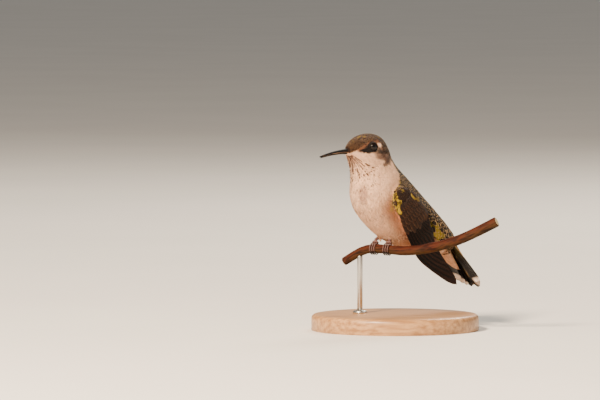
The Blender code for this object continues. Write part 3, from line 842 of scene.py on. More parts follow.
def beech_material(name, tone, dark):
    """Beech, turned and oiled: warm, close grain, with short darker flecks along it."""
    made, tree, shader = new_material(name, Roughness=0.42, Coat_Weight=0.15, Coat_Roughness=0.3)
    mixed, _ = noise_tone(tree, rgba(dark), rgba(tone), 60, (1, 14, 14), 6.0)
    fleck = drift_of(tree, 420.0, 2.0, (1, 12, 12))
    share = add(tree, "MapRange", {"Value": fleck, "From Min": 0.62, "From Max": 0.7,
                                   "To Max": 0.5})
    tone = add(tree, "Mix", {0: share, MIX_A: mixed, MIX_B: rgba(dark)}, data_type="RGBA")
    dress(tree, shader, tone.outputs[MIX_OUT], fleck, 0.25, 0.00006)
    return made


def steel_material(name):
    """Satin stainless steel, turned: fine rings round the rod blur its reflections."""
    made, tree, shader = new_material(name, Metallic=1.0, Roughness=0.34)
    dress(tree, shader, rgba(srgb("#bfbdb8")), drift_of(tree, 300.0, 2.0, (1, 1, 30)), 0.15,
           0.00003)
    return made


def floor_material(name, tone):
    """Matt painted board, plain and pale."""
    made, tree, shader = new_material(name, Roughness=0.85)
    link(tree, shader, {"Base Color": noise_tone(tree, rgba(tone, 0.97), rgba(tone), 8)[0]})
    return made


# ---- skin and coat ----

def blurred(rows, width):
    """Rows of numbers, each a running mean over width places."""
    rows = np.atleast_2d(rows)
    share = np.ones(width) / width
    return np.array([np.convolve(np.pad(row, width // 2, "edge"), share, "valid") for row in rows])


class WingSheet:
    """A folded wing as a sheet: way down it, way across it from the belly side, height over it."""

    def __init__(self, side, sign):
        nodes = ("wing_" + side, "wing_" + side + "_primaries")
        cover, blades = points_of(nodes[0]), points_of(nodes[1])
        tip = blades[np.argmin(blades[:, 2])]
        self.root = cover[np.argmax(np.linalg.norm(cover - tip, axis=1))]
        self.down = unit(tip - self.root)
        self.across = unit(np.cross(LEFT, self.down))
        self.out = sign * np.cross(self.down, self.across)
        self.length = float((tip - self.root) @ self.down) / MM
        wall = tree_of(*(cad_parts[node] for node in nodes))
        flat = (np.vstack([cover, blades]) - self.root) / MM
        self.ways = np.linspace(0.3, self.length - 0.3, 96)
        self.steps = np.linspace((flat @ self.across).min(), (flat @ self.across).max(), 64)
        height = np.full((len(self.ways), len(self.steps)), np.nan)
        # Rays from outside find the wing's outer face; where they miss, the row's edge goes on.
        for row, way in enumerate(self.ways):
            for column, step in enumerate(self.steps):
                start = self.root + (self.down * way + self.across * step + self.out * 20) * MM
                hit = wall.ray_cast(Vector(start), Vector(-self.out))[0]
                if hit is not None:
                    height[row, column] = (np.array(hit) - self.root) @ self.out / MM
        ends = np.zeros((2, len(self.ways)))
        for row in range(len(self.ways)):
            held = np.flatnonzero(~np.isnan(height[row]))
            ends[:, row] = self.steps[held[[0, -1]]]
            height[row] = np.interp(self.steps, self.steps[held], height[row, held])
        # Smoothed, so that the feathers don't follow the facets of the solids.
        for _ in range(2):
            height = blurred(blurred(height, 7).T, 7).T
        self.height = height
        self.front, self.back = blurred(ends, 11)

    def edges(self, way):
        return np.interp(way, self.ways, self.front), np.interp(way, self.ways, self.back)

    def over(self, way, step):
        """Height of the sheet at some places."""
        row = (way - self.ways[0]) / (self.ways[1] - self.ways[0])
        column = (step - self.steps[0]) / (self.steps[1] - self.steps[0])
        row = np.clip(row, 0, len(self.ways) - 1.001)
        column = np.clip(column, 0, len(self.steps) - 1.001)
        i, j = row.astype(int), column.astype(int)
        u, v = row - i, column - j
        h = self.height
        return ((h[i, j] * (1 - u) + h[i + 1, j] * u) * (1 - v)
                + (h[i, j + 1] * (1 - u) + h[i + 1, j + 1] * u) * v)

    def place(self, way, step, lift):
        high = self.over(way, step) + lift
        return self.root + MM * (way[..., None] * self.down + step[..., None] * self.across
                                 + high[..., None] * self.out)

    def read(self, points):
        offset = (points - self.root) / MM
        return offset @ self.down, offset @ self.across


def wing_sheets():
    return {side: WingSheet(side, sign) for side, sign in SIDES}


def wing_marks(sheet, points, tones, random):
    """Coverts: dark with olive edges, and a shining yellow-green patch at the shoulder."""
    way, step = sheet.read(points)
    front, back = sheet.edges(way)
    share = (step - front) / np.maximum(back - front, 0.1)
    marks = Marks(len(points), tones.covert)
    marks.lay(np.ones(len(points)), tones.covert, tones.covert_edge, 0.35, 0.1)
    patch = (1 - ease(way, 4.5, 7)) * (1 - ease(share, 0.16, 0.3)) * ease(random[:, 0], 0.55, 0.62)
    marks.lay(patch, tones.sheen, tones.covert_edge, 0.3, 0.75)
    loose = bump(way, 1, 11, 2) * ease(random[:, 1], 0.86, 0.9)
    marks.lay(loose * 0.5, tones.sheen, tones.covert_edge, 0.6, 0.4)
    return marks


def all_marks(points, part, tones, random, sheets):
    """Markings of the body, and of the wings where the points lie on them."""
    marks = body_marks(points, tones, random)
    under = (part == FLESH.index("undertail_coverts")) * 1.0
    # Partly painted shade: the undertail coverts take belly buff with white edges, for their brown
    # centres and for the shade beneath the tail.
    marks.lay(under, tones.belly, tones.white, 0.5)
    marks.lay(under * ease(random[:, 0], 0.8, 0.85) * 0.3, tones.mottle)
    for side, _ in SIDES:
        held = np.flatnonzero(part == FLESH.index("wing_" + side))
        if len(held):
            wing = wing_marks(sheets[side], points[held], tones, random[held])
            for name in MARK_LAYERS:
                getattr(marks, name)[held] = getattr(wing, name)
    return marks


class HUMMINGBIRD_OT_skin(bpy.types.Operator):
    """One skin over head, body and wings, inside the outline by the depth of the coat"""
    bl_idname = "hummingbird.skin"
    bl_label = "Skin"

    def execute(self, context):
        tones = context.scene.hummingbird_plumage
        mesh = fused("skin", SKIN_NODES)
        points, normals = corners_of(mesh)
        wall = BVHTree.FromBMesh(mesh)
        depth = tones.coat_depth * (0.45 + 0.55 * ease(from_bill_base(points), 1.5, 8))
        # A thin place, such as the edge of a wing, gives up less than half of its thickness.
        for vert, normal, deep in zip(mesh.verts, normals, depth):
            inward = Vector(-normal)
            through = wall.ray_cast(vert.co + inward * 0.05 * MM, inward, 8 * MM)[3]
            thick = 8 * MM if through is None else through
            vert.co += inward * min(SWELL * MM + deep, 0.4 * thick)
        smoothed(mesh, 1)
        part = nearest_nodes(points, SKIN_NODES)
        random = np.random.default_rng(SKIN_SEED).random((len(points), 4))
        item = new_object("skin", mesh, shared_material("down under the plumage", down_material))
        write_marks(item.data, all_marks(points, part, tones, random, wing_sheets()))
        loops = np.zeros(len(item.data.loops), np.int32)
        item.data.loops.foreach_get("vertex_index", loops)
        write_uv(item.data, COAT_UV, skin_unwrap(points)[loops])
        settle(item, "breast_feathers", *FLESH)
        return {"FINISHED"}


def shoulder_share(points):
    """How near some places are to the folded wings' shoulders, and how far they lie on them."""
    near, on = np.zeros(len(points)), np.zeros(len(points))
    for side, _ in SIDES:
        wing = points_of("wing_" + side)
        top = wing[np.argsort(wing[:, 2])[-len(wing) // 4:]].mean(0)
        near = np.maximum(near, 1 - ease(np.linalg.norm(points - top, axis=1) / MM, 5.5, 9))
        tree = tree_of(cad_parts["wing_" + side])
        for index in np.flatnonzero(near > 0):
            found = tree.find_nearest(Vector(points[index]), 1.0 * MM)
            if found[0] is not None:
                on[index] = max(on[index], 1 - float(ease(found[3] / MM, 0.45, 0.8)))
    return near, on


def feather_sizes(points, tones):
    """Length, width, lift and scaliness of the feathers at some places."""
    along, sideways, back = trunk_places(points)
    turn = turn_from_back(sideways, back)
    on_head = 1 - ease(along, -17, -10)
    face = 1 - ease(from_bill_base(points), 1.5, 8)
    under = ease(turn, 60, 95)
    vent = ease(along, 14, 20)
    by_eye = 1 - ease(from_eyes(points), 2.2, 4.0)
    trunk = tones.back_feather * (1 - under) + tones.breast_feather * under
    trunk = trunk * (1 - vent) + tones.vent_feather * vent
    size = tones.crown_feather * on_head + trunk * (1 - on_head)
    size = size * (1 - face) + tones.face_feather * face
    size = size * (1 - by_eye) + 0.5 * tones.face_feather * by_eye
    # Longest under the end of the rump, and short over it, where the tail begins.
    longest = 1 + 0.35 * (ease(along, 21, 27) * under)
    size = size * longest * (1 - 0.65 * ease(along, 19, 25) * (1 - ease(turn, 85, 110)))
    near, on = shoulder_share(points)
    size = size * (1 - near) + np.minimum(size, 1.6 * MM) * near
    scales = np.maximum(scaly(points), on)
    lifts = (tones.coat_depth * (0.45 + 0.55 * (1 - face)) * (1.0 + 0.25 * vent)
             * (1 - 0.2 * by_eye) * (1 - 0.5 * ease(along, 21, 26)))
    return size, size * (0.36 + 0.26 * scales), lifts, scales


def feather_spacing(points, tones):
    """Distance between roots: close where the plumage is soft, wide where it shows as scales."""
    size, _, _, scales = feather_sizes(points, tones)
    size = size / MM
    return MM * (0.165 * size ** 0.72 * (1 - scales) + 0.3 * size ** 1.32 * scales)


def lid_roots(eye, sign):
    """Places and normals of the tiny feathers on an eyelid, in rings from its rim to the face."""
    gaze = gaze_of(sign)
    over = unit(np.cross(gaze, np.cross(UP, gaze)))
    beside = np.cross(gaze, over)
    turns = np.radians(np.arange(56, 106, 6.5))
    facing = []
    for number, turn in enumerate(turns):
        count = int(math.tau * math.sin(turn) * EYE_RADIUS / (0.17 * MM))
        round_eye = (np.arange(count) + 0.5 * (number % 2)) / count * math.tau
        facing.append(np.outer(np.full(count, math.cos(turn)), gaze) + math.sin(turn)
                      * (np.outer(np.cos(round_eye), over) + np.outer(np.sin(round_eye), beside)))
    facing = np.vstack(facing)
    return eye + facing * (EYE_RADIUS + LID_RISE), facing


def grow_piece(name, slot, surface, rows, marks, pattern, random):
    """One piece of the coat; rows holds what grow_vanes needs, one row for each feather."""
    places = grow_vanes(surface, *rows, pattern, random)
    settle(joined_mesh(name, places, pattern, marks, skin_unwrap(rows[0]), PATCH,
                       contour_material()), slot)


def throat_streaks(surface, tones, random):
    """Narrow dark vanes in lines from the chin; the lines break up lower down."""
    roots, lies, normals, reaches = [], [], [], []
    chin = BILL_BASE - UP * 0.9 * MM - HEAD_FRONT * 0.6 * MM
    for line in range(-5, 6):
        turn = math.radians(line * LINE_TURN + random.uniform(-2, 2))
        heading = HEAD_LEFT * math.sin(turn) - UP * math.cos(turn)
        reach = random.uniform(1.6, 2.6)
        spot = chin + heading * reach * MM
        while reach < 14:
            place, facing, _, _ = surface.find_nearest(Vector(spot))
            lie = lie_of_coat(np.array([place]), np.array([facing]))[0]
            if random.random() < np.interp(reach, (0, 6.5, 9, 14), (0.95, 0.9, 0.35, 0.2)):
                roots.append(place)
                normals.append(facing)
                lies.append(lie)
                reaches.append(reach)
            step = random.uniform(0.45, 0.65)
            spot = np.array(place) + lie * step * MM
            reach += step
    roots, lies, normals = np.array(roots), np.array(lies), np.array(normals)
    count = len(roots)
    lifts = feather_sizes(roots, tones)[2] * 1.3 + 0.1 * MM
    broader = 1 + ease(np.array(reaches), 7, 8.5)       # the loose spots low on the throat
    sizes = random.uniform(0.8, 1.2, count) * MM
    widths = random.uniform(0.2, 0.3, count) * broader * MM
    rows = (roots, normals, lies, sizes, widths, lifts, np.zeros(count))
    grow_piece("throat_streaks", "breast_feathers", surface, rows, Marks(count, tones.streak),
               vane_pattern(*FINE_VANE), random)


def coat_roots(tones, skin, sheets, random):
    """Roots of the coat's feathers with their normals, and the part of the bird each is on."""
    roots, normals = spread_roots(skin, lambda p: feather_spacing(p, tones), random, ROOT_TRIES)
    part = nearest_nodes(roots, SKIN_NODES)
    keep = (part < len(FLESH)) | (from_eyes(roots) < 3)
    for eye, _ in EYES:
        keep &= np.linalg.norm(roots - eye, axis=1) > EYE_RADIUS + 0.2 * MM
    # No root under the flight feathers or against the stem.
    cover = tree_of(*(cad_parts[node] for node in
                      ("wing_left_primaries", "wing_right_primaries", "perch_stem")))
    for index in np.flatnonzero(keep):
        outward = Vector(normals[index])
        gap = cover.ray_cast(Vector(roots[index]) + outward * 0.2 * MM, outward, 1.6 * MM)[3]
        keep[index] = gap is None
    # On a wing, only on its outer side and above its rows of coverts.
    for side, _ in SIDES:
        way, step = sheets[side].read(roots)
        inside = (step > sheets[side].edges(way)[0] - 0.3) & (way < 9.5)
        keep &= ((part != FLESH.index("wing_" + side))
                 | (inside & (normals @ sheets[side].out > 0.1)))
    rings = [lid_roots(eye, sign) for eye, sign in EYES]
    roots = np.vstack([roots[keep]] + [ring[0] for ring in rings])
    normals = np.vstack([normals[keep]] + [ring[1] for ring in rings])
    lids = np.full(len(roots) - keep.sum(), FLESH.index("head"))
    return roots, normals, np.append(part[keep], lids)


class HUMMINGBIRD_OT_coat(bpy.types.Operator):
    """Body feathers, from tiny ones beside the bill to long ones under the tail"""
    bl_idname = "hummingbird.coat"
    bl_label = "Body feathers"

    def execute(self, context):
        tones = context.scene.hummingbird_plumage
        random = np.random.default_rng(COAT_SEED)
        skin = bpy.data.objects["skin"]
        surface = tree_of(skin, *(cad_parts["eye_" + side] for side, _ in SIDES))
        sheets = wing_sheets()
        roots, normals, part = coat_roots(tones, skin, sheets, random)
        lie = lie_of_coat(roots, normals)
        for side, _ in SIDES:
            held, axis = part == FLESH.index("wing_" + side), sheets[side].down
            lie[held] = unit(axis - normals[held] * (normals[held] @ axis)[:, None])
        sizes, widths, lifts, scales = feather_sizes(roots, tones)
        on_wing = part >= FIRST_WING
        on_lid = from_eyes(roots) * MM < EYE_RADIUS + 0.1 * MM
        widths = np.where(on_wing, 0.72 * sizes, widths)
        scales = np.where(on_lid, 0.3, scales)
        rounds = np.where(on_wing, 1.0, scales)
        vary = random.uniform(0.88, 1.12, len(roots))
        sizes = np.where(on_lid, LID_FEATHER[0], sizes) * vary
        widths = np.where(on_lid, LID_FEATHER[1], widths) * vary
        lifts = np.where(on_lid, LID_RISE + 0.16 * MM, lifts)
        marks = all_marks(roots, part, tones, random.random((len(roots), 4)), sheets)
        shade = 1 + random.uniform(-0.05, 0.04, (len(roots), 1)) * (1 + rounds[:, None])
        marks.plume, marks.edge = marks.plume * shade, marks.edge * shade

        along, ahead = trunk_places(roots)[0], head_places(roots)[0]
        face_end, crown_end, throat_end, breast_end, belly_end = COAT_BREAKS
        scaled, soft = (scales > 0.5) & ~on_wing, (scales <= 0.5) & ~on_wing
        face, under = soft & (along < face_end), soft & (along >= face_end)
        fine, broad = vane_pattern(*FINE_VANE), vane_pattern(*BROAD_VANE)
        groups = (
            ("coat_crown", scaled & (along < crown_end), "crown_feathers", broad),
            ("coat_back", scaled & (along >= crown_end), "rump_feathers", broad),
            ("coat_face", face & (ahead > 0), "crown_feathers", fine),
            ("coat_cheeks", face & (ahead <= 0), "crown_feathers", fine),
            ("coat_throat", under & (along < throat_end), "breast_feathers", fine),
            ("coat_breast", under & (along >= throat_end) & (along < breast_end),
             "breast_feathers", fine),
            ("coat_belly", under & (along >= breast_end) & (along < belly_end),
             "breast_feathers", fine),
            ("coat_vent", under & (along >= belly_end), "undertail_feathers", broad),
            ("coat_shoulders", on_wing, "wing_coverts", broad))
        for name, held, slot, pattern in groups:
            which = np.flatnonzero(held)
            if not len(which):
                raise RuntimeError("no roots for " + name)
            rows = [row[which] for row in (roots, normals, lie, sizes, widths, lifts, rounds)]
            grow_piece(name, slot, surface, rows, marks.pick(which), pattern,
                       np.random.default_rng(len(name) + len(which)))
        throat_streaks(surface, tones, random)
        return {"FINISHED"}


# ---- wings and tail ----

def blade_tips(sheet):
    """How far down the wing each flight feather ends, from the outermost inward."""
    tips = [sheet.length - 0.3 - 2.5 * n - 0.04 * n * n for n in range(PRIMARIES)]
    return np.array(tips + [tips[-1] - 1.25 * (n + 1) for n in range(SECONDARIES)])


def blade(sheet, number, tips, corners):
    """Corner places of one flight feather, from its leading line to its trailing line."""
    x, y = (corners[:, 0] + 1) / 2, corners[:, 1]
    way = BLADE_ROOT + (tips[number] - BLADE_ROOT) * y
    # How many feathers still reach this far, averaged so that no edge steps where one ends.
    present = np.mean([np.interp(way + slip, tips[::-1], np.arange(len(tips))[::-1],
                                 left=len(tips) + 0.5) for slip in (-3, -1.5, 0, 1.5, 3)], axis=0)
    front, back = sheet.edges(way)
    lead = front + (back - front) * np.minimum(number / np.maximum(present, max(number, 0.5)), 1)
    bare = (back - front) / np.maximum(present, 1)
    trail = np.minimum(lead + np.maximum(2.1 * bare, 1.6), back + 0.25)
    point = np.sqrt(np.clip(1 - ((y - 0.94) / 0.06) ** 2, 0.0, 1)) * (y > 0.94) + (y <= 0.94)
    half = (trail - lead) / 2 * np.maximum(point, 0.12)
    step = (trail + lead) / 2 + (2 * x - 1) * half
    # Tilted like a tile, slightly crowned, and 0.12 mm thick.
    lift = 0.14 - 0.42 * x + 0.07 * (1 - (2 * x - 1) ** 2) + 0.12 * corners[:, 2]
    return sheet.place(way, step, lift)


def in_a_row(count, first):
    """Middles of the UV places of some long feathers, side by side."""
    return np.stack([np.linspace(first, 1 - first, count), np.full(count, 0.5)], axis=1)


def covert_places(sheet, corners, random):
    """Corner places and roots of the coverts, row by row down the wing."""
    x, y = corners[:, 0], corners[:, 1]
    outline = np.interp(y, (0, 0.3, 0.75, 0.92, 1), (0.4, 0.85, 1, 0.85, 0.5))
    spots, roots = [], []
    for start, size, spacing, lift in COVERT_ROWS:
        front, back = sheet.edges(np.array([start]))
        count = int((back[0] - front[0]) / spacing) + 1
        for n in range(count):
            slip = random.uniform(-0.35, 0.35)
            long = size * random.uniform(0.9, 1.08)
            way = start + slip + long * (y - 0.1 * x * x * y)
            low, high = sheet.edges(way)
            middle = low + (high - low) * (n + 0.5) / count
            step = np.clip(middle + x * outline * 0.85 * spacing, low - 0.25, high + 0.3)
            tilt = -0.14 * x * outline
            rise = lift + tilt + 0.1 * y ** 2 + 0.08 * corners[:, 2] - 0.1 * x * x
            spots.append(sheet.place(way, step, rise))
            roots.append(sheet.place(np.array([start]), middle[:1], np.array([0.0]))[0])
    return np.array(spots), np.array(roots)


class HUMMINGBIRD_OT_wings(bpy.types.Operator):
    """Flight feathers of the folded wings, and the rows of coverts over their roots"""
    bl_idname = "hummingbird.wings"
    bl_label = "Wing feathers"

    def execute(self, context):
        tones = context.scene.hummingbird_plumage
        long, short = vane_pattern(*FLIGHT_VANE), vane_pattern(*COVERT_VANE)
        for side, sign in SIDES:
            random = np.random.default_rng(WING_SEED + sign)
            sheet = WingSheet(side, sign)
            tips = blade_tips(sheet)
            count = len(tips)
            blades = np.array([blade(sheet, n, tips, long[0]) for n in range(count)])
            marks = Marks(count, tones.wing)
            marks.lay(ease(np.arange(count), 2, 12) * 0.3, tones.covert)
            marks.lay(np.ones(count), marks.plume[0], tones.wing_edge, 0.75, 0.1)
            marks.plume = marks.plume * random.uniform(0.85, 1.15, (count, 1))
            item = joined_mesh("flight_feathers_" + side, blades, long, marks,
                               in_a_row(count, 0.05), (0.04, 0.9), flight_material())
            settle(item, "flight_feathers", "wing_" + side + "_primaries")

            spots, roots = covert_places(sheet, short[0], random)
            marks = wing_marks(sheet, roots, tones, random.random((len(roots), 4)))
            marks.plume = marks.plume * random.uniform(0.8, 1.2, (len(roots), 1))
            item = joined_mesh("wing_coverts_" + side, spots, short, marks, skin_unwrap(roots),
                               PATCH, contour_material())
            settle(item, "wing_coverts")
        return {"FINISHED"}


def tail_blade(points, corners, fan_middle):
    """Corner places of one tail feather over its CAD node; y runs from the root to the tip."""
    middle = points.mean(0)
    axes = np.linalg.svd(points - middle, full_matrices=False)[2]
    along = axes[0] * (1 if axes[0][2] < 0 else -1)
    across = axes[1] * (1 if axes[1] @ LEFT > 0 else -1)
    upward = np.cross(across, along)
    upward = upward * (1 if upward @ BACK > 0 else -1)
    low, high = ((points - middle) @ along).min(), ((points - middle) @ along).max()
    half = np.abs((points - middle) @ across).max()
    x, y = corners[:, 0], corners[:, 1]
    way = low - TAIL_HIDDEN + (high - low + TAIL_HIDDEN) * y
    outline = np.interp(y, (0, 0.3, 0.7, 0.85), (0.5, 0.85, 1, 1.0))
    round_end = np.sqrt(np.clip(1 - (np.maximum(y - 0.84, 0) / 0.16) ** 2, 0.01, 1))
    side = x * half * outline * round_end
    # Arched vanes, pressed closer together than the solids, so that no light shows between them.
    lift = (0.32 * (1 - x * x) - 0.08 + 0.16 * corners[:, 2]) * MM
    lift = lift - FAN_PRESS * ((middle - fan_middle) @ upward)
    return middle + along * way[:, None] + across * side[:, None] + upward * lift[:, None]


class HUMMINGBIRD_OT_tail(bpy.types.Operator):
    """The ten tail feathers: bronze in the middle, dark-banded with white tips outside"""
    bl_idname = "hummingbird.tail"
    bl_label = "Tail feathers"

    def execute(self, context):
        tones = context.scene.hummingbird_plumage
        pattern = vane_pattern(*TAIL_VANE)
        corners = pattern[0]
        order = [(side, sign, pair) for side, sign in SIDES for pair in TAIL_PAIRS]
        nodes = [f"tail_feather_{side}_{pair}" for side, _, pair in order]
        fan_middle = points_of(*nodes).mean(0)
        blades = np.array([tail_blade(points_of(node), corners, fan_middle) for node in nodes])
        pairs = np.repeat([pair for _, _, pair in order], len(corners))
        on_left = np.repeat([sign > 0 for _, sign, _ in order], len(corners))
        y = np.tile(corners[:, 1], len(nodes))
        marks = Marks(len(y), tones.tail)
        marks.lay(np.ones(len(y)), tones.tail, tones.back_edge, 0.5, 0.35)
        outer = ease(pairs, 2.2, 3.0)
        marks.lay(np.maximum(outer * ease(y, 0.3, 0.5), (pairs == 2) * ease(y, 0.7, 0.85)),
                  tones.tail_black, tones.tail_black, 0.1, 0.25)
        # Painted shade: the white tips of the left feathers, which lie in shade, start further out
        # than those on the right.
        white_from = 0.93 - 0.04 * (pairs - 3) + 0.05 * on_left
        marks.lay(outer * ease(y, white_from - 0.02, white_from + 0.02), tones.tail_white,
                  tones.tail_white, 0.2)
        item = joined_mesh("tail_feathers", blades, pattern, marks, in_a_row(len(nodes), 0.06),
                           (0.05, 0.9), flight_material())
        settle(item, "tail_feathers", *nodes)
        return {"FINISHED"}


# ---- eyes, bill, feet ----

def turned(outline, steps, centre=(0, 0), closed=False):
    """A turned shape: an outline of (radius, height), spun round an upright line."""
    mesh = bmesh.new()
    verts = [mesh.verts.new((centre[0] + radius, centre[1], height)) for radius, height in outline]
    ends = verts[1:] + (verts[:1] if closed else [])
    edges = [mesh.edges.new(pair) for pair in zip(verts, ends)]
    bmesh.ops.spin(mesh, geom=verts + edges, cent=(centre[0], centre[1], 0), axis=(0, 0, 1),
                   angle=math.tau, steps=steps, use_merge=True)
    bmesh.ops.remove_doubles(mesh, verts=mesh.verts, dist=1e-7)
    bmesh.ops.recalc_face_normals(mesh, faces=mesh.faces)
    return mesh


class HUMMINGBIRD_OT_eyes(bpy.types.Operator):
    """Dark eyes with a wet cornea, each in a narrow ring of bare lid"""
    bl_idname = "hummingbird.eyes"
    bl_label = "Eyes"

    def execute(self, context):
        tones, details = context.scene.hummingbird_plumage, context.scene.hummingbird_details
        glass = shared_material("cornea over dark iris", eye_material, tuple(details.iris))
        bare = shared_material("bare lid skin", lid_material, rgba(tones.lore, 0.6)[:3])
        # The lid's section: out over the eye, round its lip at the opening, and back beneath.
        opening = math.acos(LID_OPENING / EYE_RADIUS)
        angles = [opening * share / 8 for share in range(1, 9)]
        over, under = ([(radius * math.cos(a), radius * math.sin(a)) for a in angles]
                       for radius in (EYE_RADIUS + LID_RISE, EYE_RADIUS - LID_RISE))
        thick = 0.55 * details.lid
        lip = []
        for step in range(7):
            bend = opening + math.pi / 2 * (step / 3 - 0.6)
            lip.append((LID_OPENING + thick * 0.6 * math.cos(bend - 1.2),
                        EYE_RADIUS * math.sin(opening) + thick * math.sin(bend - 0.2)))
        for side, sign in SIDES:
            gaze = Vector(gaze_of(sign)).to_track_quat("Z", "Y").to_matrix().to_4x4()
            matrix = Matrix.Translation(Vector(middle_of("eye_" + side))) @ gaze
            ball = bmesh.new()
            bmesh.ops.create_uvsphere(ball, u_segments=40, v_segments=24, radius=EYE_RADIUS)
            ahead = [vert.co.z / EYE_RADIUS for vert in ball.verts]
            ring = turned(over + lip + under[::-1], 84, closed=True)
            for mesh in (ball, ring):
                bmesh.ops.transform(mesh, matrix=matrix, verts=mesh.verts)
            item = new_object("eyeball_" + side, ball, glass)
            write_layer(item.data, "gaze", ahead)
            settle(item, "eye", "eye_" + side)
            settle(new_object("eyelid_" + side, ring, bare), "eye")
        return {"FINISHED"}


class HUMMINGBIRD_OT_bill(bpy.types.Operator):
    """Both halves of the straight black bill, as smooth horn sheaths"""
    bl_idname = "hummingbird.bill"
    bl_label = "Bill"

    def execute(self, context):
        details = context.scene.hummingbird_details
        horn = shared_material("bill horn", horn_material, tuple(details.bill), 0.3)
        for node in ("bill_upper", "bill_lower"):
            settle(new_object(node + "_sheath", fused("bill", (node,)), horn), "bill_horn", node)
        return {"FINISHED"}


def stem_places(points):
    """Way along the stem, offset from its middle line, turn round it, and its axis."""
    stem = points_of("perch_stem")
    middle = stem.mean(0)
    axis = np.linalg.svd(stem - middle, full_matrices=False)[2][0]
    axis = axis * (1 if axis[0] > 0 else -1)
    way = (stem - middle) @ axis
    knots = np.linspace(way.min(), way.max(), 13)
    line = []
    for low, high in zip(knots[:-1], knots[1:]):
        held = stem[(way >= low - 0.4 * MM) & (way <= high + 0.4 * MM)]
        if len(held):
            line.append(np.append((held @ axis).mean() - middle @ axis, held.mean(0)))
    line = np.array(line)
    fits = [np.polyfit(line[:, 0], line[:, k + 1], 5) for k in range(3)]
    way = (points - middle) @ axis
    offset = points - np.stack([np.polyval(fit, way) for fit in fits], axis=1)
    first = unit(np.cross(axis, UP))
    return way, offset, np.arctan2(offset @ np.cross(first, axis), offset @ first), axis


class HUMMINGBIRD_OT_feet(bpy.types.Operator):
    """Short legs and gripping toes in ringed scales, with dark claws"""
    bl_idname = "hummingbird.feet"
    bl_label = "Feet"

    def execute(self, context):
        details = context.scene.hummingbird_details
        scaled = shared_material("scaled toe skin", toe_material, tuple(details.toe),
                                 details.scute)
        horn = shared_material("claw horn", horn_material, tuple(details.claw), 0.35)
        for side, _ in SIDES:
            ankle = points_of("leg_" + side)
            ankle = ankle[np.argsort(ankle[:, 2])[:8]].mean(0)
            # Round pads join the shank to the knuckles of the toes.
            pads = [(ankle, 0.5 * MM)]
            for toe in TOES:
                node = f"toe_{side}_{toe}"
                knuckle = points_of(node)
                knuckle = knuckle[np.argsort(knuckle[:, 2])[-6:]].mean(0)
                pads += [(ankle + (knuckle - ankle) * share, (0.48 - 0.12 * share) * MM)
                         for share in (0.3, 0.6, 0.9)]
                mesh = fused("toe", (node,))
                points, normals = corners_of(mesh)
                _, offset, turn, _ = stem_places(points)
                way = turn * np.linalg.norm(offset, axis=1)
                ring = np.abs(np.sin(way * math.pi / details.scute)) ** 0.5
                for vert, normal, high in zip(mesh.verts, normals, ring):
                    vert.co += Vector(normal) * (high - 0.6) * 0.07 * MM
                item = new_object("scaled_" + node, mesh, scaled)
                write_layer(item.data, "way", way)
                settle(item, "leg_skin", node)
            mesh = fused("shank", ("leg_" + side,), pads)
            way = corners_of(mesh)[0][:, 2] * 1.2
            item = new_object("shank_" + side, mesh, scaled)
            write_layer(item.data, "way", way)
            settle(item, "leg_skin", "leg_" + side)
            for toe in TOES:
                node = f"claw_{side}_{toe}"
                settle(new_object("horn_" + node, fused("claw", (node,)), horn), "claw_horn", node)
        return {"FINISHED"}


# ---- perch, stand and stage ----

class HUMMINGBIRD_OT_perch(bpy.types.Operator):
    """The cut length of stem: ribbed bark, and pale pith at its cut ends"""
    bl_idname = "hummingbird.perch"
    bl_label = "Perch"

    def execute(self, context):
        details = context.scene.hummingbird_details
        bark = shared_material("young bark and pith", bark_material, tuple(details.stem_top),
                               tuple(details.stem_low), tuple(details.pith))
        mesh = fused("perch", ("perch_stem",))
        points, normals = corners_of(mesh)
        way, offset, turn, axis = stem_places(points)
        girth = np.linalg.norm(offset, axis=1)
        radius = np.median(girth)
        end = np.abs(normals @ axis) > 0.75
        # Fine ribs that wander along the stem, and two buds.
        count = round(math.tau * radius / details.fibre)
        wander = 0.7 * np.sin(way / (6 * MM)) + 0.4 * np.sin(way / (2.3 * MM) + 2)
        rib = np.sin(count * turn + wander * 2) * (0.6 + 0.4 * np.sin(way / (3.1 * MM) + turn * 2))
        bud = sum(np.exp(-((way - place * MM) / (width * MM)) ** 2)
                  for place, width in ((9, 1.6), (-14, 1.4)))
        rise = (0.035 * rib + 0.16 * bud * (0.5 + 0.5 * np.cos(turn - 1))) * MM
        for vert, normal, high, cut in zip(mesh.verts, normals, rise, end):
            if not cut:
                vert.co += Vector(normal) * high
        item = new_object("perch_bark", mesh, bark)
        write_layer(item.data, "upward", (normals @ UP) * 0.5 + 0.25)
        write_layer(item.data, "cut", end & (girth < 0.82 * radius))
        write_layer(item.data, "bark", np.stack([np.cos(turn) * radius, np.sin(turn) * radius,
                                                 way * 0.16], axis=1))
        settle(item, "stem", "perch_stem")
        return {"FINISHED"}


def rounded(radius, low, high, soft, steps=5):
    """Outline of a disc whose upper rim is rounded."""
    angles = [math.pi / 2 * n / steps for n in range(steps + 1)]
    rim = [(radius - soft + soft * math.cos(a), high - soft + soft * math.sin(a)) for a in angles]
    foot = 0.12 * soft
    return [(0, low), (radius - foot, low), (radius, low + foot)] + rim + [(0, high)]


